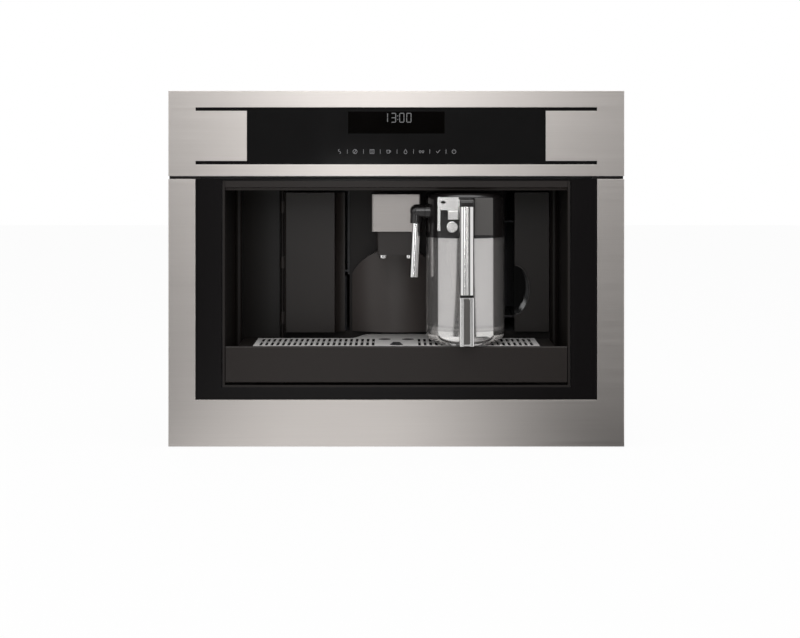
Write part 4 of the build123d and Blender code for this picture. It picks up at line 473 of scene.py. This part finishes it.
# %% Give each node its finish
WEARS = {
    "steel_front": ["front_frame", "control_fascia"],
    "steel_spout": ["spout_cover"],
    "steel_grille": ["drip_grille"],
    "steel_runner": ["cabinet_runners", "middle_runners", "inner_runners"],
    "steel_machined": ["brew_spindle", "lower_burr"],
    "chrome": ["spout_nozzles", "jug_handle", "milk_spout_tube", "steam_nozzle"],
    "silvered": ["lid_escutcheon", "froth_regulator", "clean_button"],
    "cast_alloy": ["boiler"],
    "touch_glass": ["control_glass"],
    "gloss_plastic": ["front_bezel"],
    "cavity_plastic": ["cavity_liner", "drip_tray"],
    "cover_plastic_painted_shade": ["left_cover"],
    "panel_plastic": ["service_door", "tank_panel"],
    "column_plastic": ["centre_column"],
    "tray_plastic": ["tray_front", "lintel_strip"],
    "spout_plastic": ["spout_body"],
    "lid_plastic": ["jug_lid", "handle_bracket", "milk_elbow"],
    "inner_plastic": ["front_carrier", "rear_bays", "grounds_container", "infuser_frame",
                      "brew_carriage", "grinder_housing", "powder_funnel", "hopper_lid",
                      "powder_flap"],
    "pale_plastic": ["milk_intake_tube"],
    "knob_plastic": ["grind_knob"],
    "switch_plastic": ["power_inlet", "power_switch", "level_float"],
    "coated_motor": ["brew_motor", "grinder_motor", "water_pump"],
    "jug_clear": ["jug_glass"],
    "tank_smoked": ["water_tank"],
    "hopper_smoked": ["bean_hopper"],
    "lamp_lens": ["cup_lights"],
    "zinc_sheet": ["base_pan", "side_panels", "rear_panel", "top_cover", "deck", "upper_shelf"],
    "solder_resist": ["control_board", "power_board"],
}
dressed = set()
for finish, names in WEARS.items():
    for name in names:
        nodes[name].data.materials.clear()
        nodes[name].data.materials.append(FINISHES[finish])
        dressed.add(name)
print("dressed:", len(dressed), "| still plain:", sorted(set(nodes) - dressed))

# %% [markdown]
# ## A small workshop for added pieces
# Added pieces start as a bmesh operator's shape, are placed by a matrix and are then shaped
# further. The last steps are the same for all: merge what touches, turn the faces outward, put
# the piece on the body that carries it, and give its mesh its finish. The object
# stays at the origin, with its place in its mesh, as the measured pieces have it.

# %% Turn a bmesh into a riding piece
WELD = 0.005 * MM


def into_scene(name, data):
    made = bpy.data.objects.new(name, data)
    bpy.context.scene.collection.objects.link(made)
    return made


def finished(name, mesh, finish, body):
    bmesh.ops.remove_doubles(mesh, verts=mesh.verts[:], dist=WELD)
    bmesh.ops.recalc_face_normals(mesh, faces=mesh.faces[:])
    data = bpy.data.meshes.new(name)
    mesh.to_mesh(data)
    mesh.free()
    made = into_scene(name, data)
    data.materials.append(FINISHES[finish])
    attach(made, body)
    print(name, "has", len(data.polygons), "faces")


print("pieces weld points closer than", WELD / MM, "mm")

# %% [markdown]
# ## Four shapes to work with
# Bars and discs come from the cube and cone operators. A stroke is a bar that runs from point
# to point, as a pen would draw it, and a ring is a small square loop, spun about its middle.

# %% Bar, disc, stroke and ring
def bar(mesh, low, high, soft):
    """A box between two corners, with softened edges."""
    place = Matrix.Translation((low + high) / 2) @ Matrix.Diagonal((*(high - low), 1.0))
    made = bmesh.ops.create_cube(mesh, size=1.0, matrix=place)
    edges = list({edge for vert in made["verts"] for edge in vert.link_edges})
    bmesh.ops.bevel(mesh, geom=edges, offset=soft, segments=2, affect="EDGES", profile=0.5,
                    material=-1)


OUTWARD = Vector((0, -1, 0))
FACING_FRONT = Matrix.Rotation(math.radians(90), 4, "X")
UPRIGHT = Matrix()


def disc(mesh, centre, radius, thickness, facing, segments, top=None):
    """A short round rod, or a cone where its top radius is given."""
    bmesh.ops.create_cone(mesh, cap_ends=True, segments=segments, radius1=radius,
                          radius2=radius if top is None else top, depth=thickness,
                          matrix=Matrix.Translation(centre) @ facing)


def stroke(mesh, start, end, width, depth):
    """A flat bar from one point to another on the front."""
    run = end - start
    turn = Matrix.Rotation(math.atan2(run.z, run.x), 4, OUTWARD)
    size = Matrix.Diagonal((run.length + width, depth, width, 1.0))
    bmesh.ops.create_cube(mesh, size=1.0,
                          matrix=Matrix.Translation((start + end) / 2) @ turn @ size)


def ring(mesh, centre, radius, width, depth, start, sweep, steps):
    """Part of a flat ring that faces the front."""
    square = ((-1, -1), (1, -1), (1, 1), (-1, 1))
    verts = [mesh.verts.new((centre.x + radius + side * width / 2, centre.y + level * depth / 2,
                             centre.z)) for side, level in square]
    edges = [mesh.edges.new((verts[index - 1], verts[index])) for index in range(4)]
    bmesh.ops.rotate(mesh, verts=verts, cent=centre,
                     matrix=Matrix.Rotation(math.radians(start), 4, OUTWARD))
    bmesh.ops.spin(mesh, geom=verts + edges, cent=centre, axis=OUTWARD,
                   angle=math.radians(sweep), steps=steps, use_merge=sweep >= 360.0)
    open_edges = [edge for edge in mesh.edges if edge.is_boundary]
    if open_edges:
        bmesh.ops.holes_fill(mesh, edges=open_edges, sides=4)


print("workshop ready: bar, disc, stroke and ring")

# %% [markdown]
# ## Marks that glow a little
# Digits and symbols are lit from behind the glass. A bright emission would burn out and light
# the cavity, so the marks are a grey of their own with only a faint glow in the same tint.

# %% Lit marks
def lit(name, tint, glow):
    look = Finish(name, Roughness=0.4, Emission_Strength=glow)
    shade = look.colours(look.noise(900.0), [c * 0.9 for c in tint], tint)
    look.feed(Base_Color=shade, Emission_Color=shade)


lit("lit_segments", (0.15, 0.15, 0.155), 0.085)
lit("lit_symbols", (0.26, 0.26, 0.27), 0.14)
print("lit finishes:", [name for name in FINISHES if name.startswith("lit")])

# %% [markdown]
# ## The clock in the display
# Seven strokes make a digit, and a table says which of them each number lights. A font could
# draw the numbers, but a display's segments have gaps that no font has. The strokes lie a hair
# in front of the glass, so that they stay sharp.

# %% Draw the clock
GLASS_FACE = 1.2
MARK_DEPTH = 0.06 * MM
LIT_IN = {"1": "bc", "3": "abgcd", "0": "abcdef"}
DIGITS = (("1", -17.0), ("3", -6.4), ("0", 4.4), ("0", 13.6))
DIGIT_LOW, DIGIT_HIGH, DIGIT_WIDTH, DIGIT_PEN = 425.2, 436.8, 5.6, 1.05
COLON_X, COLON_Z, COLON_RADIUS = 1.9, (428.6, 433.4), 0.65


def digit(mesh, text, x):
    low, high, right = DIGIT_LOW, DIGIT_HIGH, DIGIT_WIDTH
    middle = (low + high) / 2
    segments = {
        "a": ((0, high), (right, high)), "b": ((right, high), (right, middle)),
        "c": ((right, middle), (right, low)), "d": ((0, low), (right, low)),
        "e": ((0, middle), (0, low)), "f": ((0, high), (0, middle)),
        "g": ((0, middle), (right, middle)),
    }
    for name in LIT_IN[text]:
        start, end = (at(x + across, GLASS_FACE, up) for across, up in segments[name])
        gap = (end - start).normalized() * DIGIT_PEN * 0.75 * MM
        stroke(mesh, start + gap, end - gap, DIGIT_PEN * MM, MARK_DEPTH)


clock = bmesh.new()
for text, x in DIGITS:
    digit(clock, text, x)
for z in COLON_Z:
    disc(clock, at(COLON_X, GLASS_FACE, z), COLON_RADIUS * MM, MARK_DEPTH, FACING_FRONT, 12)
finished("clock_digits", clock, "lit_segments", "machine")

# %% [markdown]
# ## The row of touch symbols
# Eight touch fields sit in a row under the display, parted by short lines. Their symbols are
# plain signs that any coffee machine has. A table draws each of them in millimetres from its
# middle: a line by its two ends, an arc by its centre, radius, first angle and sweep.

# %% Draw the symbols
SYMBOL_X = (-74.1, -53.9, -31.7, -10.2, 12.0, 32.9, 54.4, 75.3)
SYMBOL_Z = 386.8
PEN, ARC_STEPS = 0.55, 18
PARTING_PEN, PARTING_HALF = 0.45, 2.6
SIGNS = (
    (("arc", 0, 1.5, 1.4, 100, 190), ("arc", 0, -1.3, 1.4, -80, 190)),
    (("arc", 0, 0, 2.7, 0, 360), ("line", -1.3, -2.0, 1.3, 2.0)),
    (("line", -2.6, -2.6, 2.6, -2.6), ("line", -2.6, 2.6, 2.6, 2.6),
     ("line", -2.6, -2.6, -2.6, 2.6), ("line", 2.6, -2.6, 2.6, 2.6),
     ("line", -1.2, 0.9, 1.2, 0.9), ("line", -1.2, -0.9, 1.2, -0.9)),
    (("line", -2.4, 1.8, -1.8, -2.2), ("line", 1.4, 1.8, 0.9, -2.2),
     ("line", -1.8, -2.2, 0.9, -2.2), ("line", -2.4, 1.8, 1.4, 1.8),
     ("arc", 1.6, 0.2, 1.2, -80, 160)),
    (("arc", 0, -0.9, 1.9, 150, 240), ("line", -1.7, 0.1, 0, 3.0), ("line", 1.7, 0.1, 0, 3.0)),
    (("line", -3.0, 1.0, -2.6, -1.6), ("line", -0.5, 1.0, -0.9, -1.6),
     ("line", -2.6, -1.6, -0.9, -1.6), ("line", 0.6, 1.0, 1.0, -1.6),
     ("line", 3.1, 1.0, 2.7, -1.6), ("line", 1.0, -1.6, 2.7, -1.6),
     ("line", -3.0, 1.0, -0.5, 1.0), ("line", 0.6, 1.0, 3.1, 1.0)),
    (("line", -2.2, 0.2, -0.6, -1.8), ("line", -0.6, -1.8, 2.6, 2.2)),
    (("arc", 0, 0, 2.5, 120, 300), ("line", 0, 0.6, 0, 3.0)),
)


def on_row(x, z):
    return at(x, GLASS_FACE, SYMBOL_Z + z)


row = bmesh.new()
for middle, sign in zip(SYMBOL_X, SIGNS):
    for kind, *sizes in sign:
        if kind == "line":
            x0, z0, x1, z1 = sizes
            stroke(row, on_row(middle + x0, z0), on_row(middle + x1, z1), PEN * MM, MARK_DEPTH)
        else:
            x, z, radius, start, sweep = sizes
            ring(row, on_row(middle + x, z), radius * MM, PEN * MM, MARK_DEPTH, start, sweep,
                 ARC_STEPS)
for left, right in zip(SYMBOL_X, SYMBOL_X[1:]):
    parting = (left + right) / 2
    stroke(row, on_row(parting, -PARTING_HALF), on_row(parting, PARTING_HALF),
           PARTING_PEN * MM, MARK_DEPTH)
finished("touch_symbols", row, "lit_symbols", "machine")

# %% [markdown]
# ## The plate on the jug's lid
# Right of the handle the lid's face carries a plain grey plate. A patch of colour on the lid
# would have no edge for the light, so it is a thin bar with softened edges, let into the face.
# It rides with the jug.

# %% The lid's plate
plate = bmesh.new()
bar(plate, at(101.6, -14.9, 278.2), at(125.2, -13.6, 326.6), soft=0.4 * MM)
finished("lid_plate", plate, "silvered_dull", "milk_jug")

# %% [markdown]
# ## Painted shade in the front's seam
# Fascia and frame stand a few millimetres apart. At both ends, where no housing lies behind the
# gap, a dark bar fills it as painted shade, for the shade of the seam. One long bar would hide
# behind the housing for nothing, so each end gets a short one, set back from the steel face.

# %% The seam's painted shade
frame_high, fascia_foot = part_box("front_frame")[1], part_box("control_fascia")[0].z
SEAM_SHADE_INNER, SEAM_SHADE_OUTER = 256.0 * MM, frame_high.x - 1.2 * MM
SEAM_SHADE_NEAR, SEAM_SHADE_FAR = STEEL_FACE + 2.2 * MM, STEEL_FACE + 6.0 * MM
LAP = 0.1 * MM
# painted shade: two short dark bars close the seam's ends, standing in for the shade in the gap
seam_shade = bmesh.new()
for left, right in ((-SEAM_SHADE_OUTER, -SEAM_SHADE_INNER), (SEAM_SHADE_INNER, SEAM_SHADE_OUTER)):
    bar(seam_shade, Vector((left, SEAM_SHADE_NEAR, frame_high.z - LAP)),
        Vector((right, SEAM_SHADE_FAR, fascia_foot + LAP)), soft=0.4 * MM)
finished("seam_shade_bar", seam_shade, "lid_plastic", "machine")
print("seam of", round((fascia_foot - frame_high.z) / MM, 2), "mm between frame and fascia")

# %% [markdown]
# ## The handle's inlay and joint
# The lower part of the handle is an open channel. A dark matt strip lies in it, and a thin dark
# collar fills the waist where the two parts meet. Both could be painted on by height, but they
# lie deeper than the chrome round them. So they are short bars with softened edges, set between
# the channel's flanks by the handle's own box.

# %% The inlay and the joint's collar
grip_low, grip_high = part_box("jug_handle")
grip_middle = (grip_low.x + grip_high.x) / 2
JOINT = grip_low.z + 63.8 * MM
WAIST_LOW, WAIST_HIGH = JOINT - 1.7 * MM, JOINT + 1.7 * MM
INLAY_HALF, FLANK, FLANK_HALF, FRONT_HALF = 3.7 * MM, 7.5 * MM, 1.1 * MM, 8.6 * MM


def grip_bar(mesh, middle, half, near, far, low, high, soft):
    """A bar on the handle, by its middle and half width, its two depths and its heights."""
    bar(mesh, Vector((middle - half, near, low)), Vector((middle + half, far, high)), soft)


inlay = bmesh.new()
grip_bar(inlay, grip_middle, INLAY_HALF, grip_low.y + 1.6 * MM, grip_low.y + 5.0 * MM,
         grip_low.z + 2.4 * MM, WAIST_LOW - 1.3 * MM, soft=0.5 * MM)
finished("handle_inlay", inlay, "handle_channel", "milk_jug")
collar = bmesh.new()
for side in (-FLANK, FLANK):
    grip_bar(collar, grip_middle + side, FLANK_HALF, grip_low.y + 2.4 * MM,
             grip_high.y - 2.4 * MM, WAIST_LOW, WAIST_HIGH, soft=0.3 * MM)
grip_bar(collar, grip_middle, FRONT_HALF, grip_low.y + 0.9 * MM, grip_low.y + 2.1 * MM,
         WAIST_LOW, WAIST_HIGH, soft=0.3 * MM)
finished("handle_joint_collar", collar, "lid_plastic", "milk_jug")

# %% [markdown]
# ## The float's cap
# The level float ends in a small dark cap that shows above the grille. It is a shallow cone on
# a stub, and it rises with the float when the tray is full. A spun profile would give the same
# shape with more to write.

# %% Make the cap
STUB_RADIUS, STUB_HEIGHT = 6.2 * MM, 0.6 * MM
CAP_RADIUS, CAP_TOP, CAP_HEIGHT = 8.8 * MM, 4.5 * MM, 3.2 * MM
float_low, float_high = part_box("level_float")
float_spot = Vector((*((float_low + float_high) / 2).xy, float_high.z))
cap = bmesh.new()
disc(cap, float_spot + Vector((0, 0, STUB_HEIGHT / 2)), STUB_RADIUS, STUB_HEIGHT, UPRIGHT, 32)
disc(cap, float_spot + Vector((0, 0, STUB_HEIGHT + CAP_HEIGHT / 2)), CAP_RADIUS, CAP_HEIGHT,
     UPRIGHT, 32, top=CAP_TOP)
finished("float_cap", cap, "switch_plastic", "level_float")

# %% [markdown]
# ## The rim of the tank's grip
# A hand's width of the tank's panel is cut away as half an ellipse, and its edge is rounded
# over. The rim catches the light as a thin pale line, which a bevel of the cut would need many
# faces to show. It is built as its own bead: a small loop, spun half a turn about the grip's
# middle and then stretched to the ellipse.

# %% Spin the bead
GRIP_REACH, GRIP_STRETCH = 20.0 * MM, 1.70
BEAD_HALF_X, BEAD_HALF_Y = 0.5 * MM, 0.4 * MM
BEAD_SWEEP = 176
panel_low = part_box("tank_panel")[0]
bead = bmesh.new()
loop = [bead.verts.new((GRIP_REACH + math.cos(turn) * BEAD_HALF_X,
                        panel_low.y + 0.6 * MM + math.sin(turn) * BEAD_HALF_Y, 0.0))
        for turn in (math.radians(step) for step in range(0, 360, 60))]
edges = [bead.edges.new((loop[index - 1], loop[index])) for index in range(6)]
bmesh.ops.rotate(bead, verts=loop, cent=(0, 0, 0),
                 matrix=Matrix.Rotation(math.radians(BEAD_SWEEP / 2), 4, OUTWARD))
bmesh.ops.spin(bead, geom=loop + edges, cent=(0, 0, 0), axis=-OUTWARD,
               angle=math.radians(BEAD_SWEEP), steps=40)
bmesh.ops.holes_fill(bead, edges=[edge for edge in bead.edges if edge.is_boundary], sides=6)
bmesh.ops.scale(bead, vec=(1.0, 1.0, GRIP_STRETCH), verts=bead.verts[:])
bmesh.ops.translate(bead, vec=(panel_low.x + 0.8 * MM, 0, panel_low.z + GRIP_RISE),
                    verts=bead.verts[:])
finished("grip_rim", bead, "silvered_dull", "water_tank")

# %% [markdown]
# ## Screws in the housing
# The sheet housing is held by small pan-head screws. A plain disc would pass from far away,
# but up close a screw is known by its recess. So a head is a short cone, and two insets of its
# top face sink the recess. One function makes a head that looks along any direction.

# %% Make a screw
HEAD_RADIUS, HEAD_HEIGHT, SINK = 3.4 * MM, 1.6 * MM, 0.2 * MM


def screw_head(mesh, spot, outward):
    turn = outward.to_track_quat("Z", "Y").to_matrix().to_4x4()
    place = Matrix.Translation(Vector(spot) + outward * (HEAD_HEIGHT / 2 - SINK)) @ turn
    made = bmesh.ops.create_cone(mesh, cap_ends=True, segments=12, radius1=HEAD_RADIUS,
                                 radius2=HEAD_RADIUS * 0.72, depth=HEAD_HEIGHT, matrix=place)
    faces = {face for vert in made["verts"] for face in vert.link_faces}
    crown = max(faces, key=lambda face: face.calc_center_median().dot(outward))
    for inward, down in ((0.22, 0.0), (0.10, 0.5)):
        bmesh.ops.inset_individual(mesh, faces=[crown], thickness=HEAD_RADIUS * inward,
                                   depth=-HEAD_HEIGHT * down)


print("a screw's head is", HEAD_RADIUS * 2 / MM, "mm wide")

# %% [markdown]
# ## Where the screws sit
# Screws follow the folded rims of the sheets: two rows and two columns on the back, three pairs
# on each side, and three pairs on the top. Their places come from the boxes of the sheets, so
# that they stay on the metal if it changes, and all heads share one mesh.

# %% Put the screws in their places
BACKWARD, RIGHTWARD, UPWARD = Vector((0, 1, 0)), Vector((1, 0, 0)), Vector((0, 0, 1))
REAR_EDGE, REAR_INNER = 0.252, 0.085
SHEET = 1.2 * MM
screws = bmesh.new()
rear_low, rear_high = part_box("rear_panel")
side_low, side_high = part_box("side_panels")
for x in (-REAR_EDGE, -REAR_INNER, REAR_INNER, REAR_EDGE):
    for z in (rear_low.z + 12 * MM, rear_high.z - 12 * MM):
        screw_head(screws, (x, rear_high.y, z), BACKWARD)
for z in (0.16, 0.27):
    for x in (-REAR_EDGE, REAR_EDGE):
        screw_head(screws, (x, rear_high.y, z), BACKWARD)
for y in (side_low.y + 20 * MM, 0.03, side_high.y - 15 * MM):
    for z in (0.020, side_high.z - 15 * MM):
        screw_head(screws, (side_high.x, y, z), RIGHTWARD)
        screw_head(screws, (side_low.x, y, z), -RIGHTWARD)
for x in (-0.25, 0.0, 0.25):
    for y in (side_low.y + 12 * MM, side_high.y - 12 * MM):
        screw_head(screws, (x, y, side_high.z + SHEET), UPWARD)
finished("housing_screws", screws, "screw_zinc", "machine")

# %% [markdown]
# ## The studio's floor
# The photograph is a plain catalogue picture on white, so the camera sees the floor almost as
# white, with a faint shadow. Steel and glass should see a room instead, or they would turn
# white too: to their reflections the floor is dark, with a bright strip before the machine and
# bright flanks. Two soft steps on the position draw both, and Light Path picks who sees which.

# %% Floor
FLOOR_DARK, FLOOR_STRIP, FLOOR_SIDES = 0.07, 1.00, 0.85
FLOOR_SIZE, FLOOR_DROP = 6.0, 0.4 * MM


def floor_finish():
    look = Finish("studio_floor", Roughness=0.7)
    haze = look.noise(2.0)
    look.feed(Base_Color=look.colours(haze, (0.86, 0.86, 0.86), (0.88, 0.88, 0.88)))
    x, y, _ = look.axes()
    strip = abs(x + 0.10).fade(0.05, 0.40, FLOOR_STRIP, FLOOR_DARK)
    flanks = (abs(x) + y * 0.38 - 0.28).fade(-0.05, 0.05, 0.0, FLOOR_SIDES)
    path = add_node(look.tree, "ShaderNodeLightPath")
    seen = Wire(look.tree, look.shader.outputs[0])
    for share, level in ((path.out("Is Camera Ray") * 0.95, 1.0),
                         (path.out("Is Glossy Ray"), strip.larger(flanks))):
        glow = add_node(look.tree, "ShaderNodeEmission", Strength=level)
        seen = add_node(look.tree, "ShaderNodeMixShader", in_0=share, in_1=seen, in_2=glow)
    look.tree.links.new(seen.socket, look.tree.nodes["Material Output"].inputs[0])


floor_finish()
ground = bmesh.new()
bmesh.ops.create_grid(ground, x_segments=1, y_segments=1, size=FLOOR_SIZE,
                      matrix=Matrix.Translation((0, 0, -FLOOR_DROP)))
floor_mesh = bpy.data.meshes.new("studio_floor")
ground.to_mesh(floor_mesh)
ground.free()
floor = into_scene("studio_floor", floor_mesh)
floor_mesh.materials.append(FINISHES["studio_floor"])
print("floor:", FLOOR_SIZE * 2, "m square")

# %% [markdown]
# ## The surround
# The surround is white to the camera and through clear walls. It could be a painted backdrop,
# but a world costs nothing to reach. Reflections see the room in it: dark behind the camera,
# so that black glass stays black, bright at both sides for the jug and the steel's edges, and
# bright above. All other rays get an even, weak fill.

# %% Surround
ROOM_DARK, ROOM_SIDES, ROOM_ABOVE, ROOM_FILL = 0.05, 0.85, 1.15, 0.40
world = bpy.data.worlds.new("studio")
bpy.context.scene.world = world
world.use_nodes = True
sky = world.node_tree
way = add_node(sky, "ShaderNodeSeparateXYZ", Vector=add_node(sky, "ShaderNodeTexCoord"))
toward_camera = way.out("Y") * -1.0
sides = toward_camera.fade(0.86, 0.93, ROOM_SIDES, ROOM_DARK)
above = way.out("Z").fade(0.035, 0.22, 0.0, ROOM_ABOVE)
path = add_node(sky, "ShaderNodeLightPath")
plain_white = (path.out("Is Camera Ray") + path.out("Is Transmission Ray")).clamped()
glossy = path.out("Is Glossy Ray")
room = glossy * sides.larger(above) + (1.0 - glossy) * ROOM_FILL
level = plain_white + (1.0 - plain_white) * room
background = sky.nodes["Background"]
background.inputs["Color"].default_value = (1, 1, 1, 1)
sky.links.new(level.socket, background.inputs["Strength"])
print("surround: white to the camera, a room to reflections")

# %% [markdown]
# ## Four soft lamps
# A tall, narrow softbox before the front makes the bright band in the middle of the brushed
# steel, stretched upwards by the grain, and a small one low down carries it on into the lower
# rail. A wide one overhead lifts the floor and the top, and a weak one from the left lights
# the cavity. Area lamps are used for all, because a point or sun would draw hard edges.

# %% Lamps
def softbox(name, spot, aim, width, height, watts):
    lamp = bpy.data.lights.new(name, "AREA")
    lamp.shape = "RECTANGLE"
    lamp.size, lamp.size_y = width, height
    lamp.energy = watts
    made = into_scene(name, lamp)
    made.location = spot
    made.rotation_euler = (Vector(aim) - Vector(spot)).to_track_quat("-Z", "Y").to_euler()
    print(name, "gives", watts, "W")


BEFORE = STEEL_FACE - 1.9
softbox("high_band", (-0.05, BEFORE, 0.94), (-0.05, STEEL_FACE, 0.35), 0.44, 0.80, 4.9)
softbox("low_band", (-0.10, BEFORE, 0.23), (-0.10, STEEL_FACE, 0.35), 0.16, 0.18, 0.9)
softbox("overhead", (0.0, -0.5, 2.3), (0.0, 0.0, 0.2), 2.4, 2.0, 30.0)
softbox("left_fill", (-1.7, -1.9, 0.9), (0.0, -0.1, 0.22), 0.9, 1.4, 4.5)

# %% [markdown]
# ## The camera
# The picture was taken square on, from about 2.3 m, a little below the top of the machine. The
# camera could be tilted to frame it so, but then upright edges would lean. It stays level and
# the lens is shifted instead.

# %% Camera
FRONT_DISTANCE, EYE_HEIGHT = 2.270, 0.398
camera_data = bpy.data.cameras.new("camera")
camera_data.lens = 78.3
camera_data.sensor_width = 36.0
camera_data.shift_x = 0.0046
camera_data.shift_y = -0.22
camera = into_scene("camera", camera_data)
camera.location = (0.0, STEEL_FACE - FRONT_DISTANCE, EYE_HEIGHT)
camera.rotation_euler = (math.radians(90), 0.0, 0.0)
bpy.context.scene.camera = camera
bpy.context.scene.view_settings.view_transform = "Standard"
print("camera at", tuple(round(v, 3) for v in camera.location))

# %% [markdown]
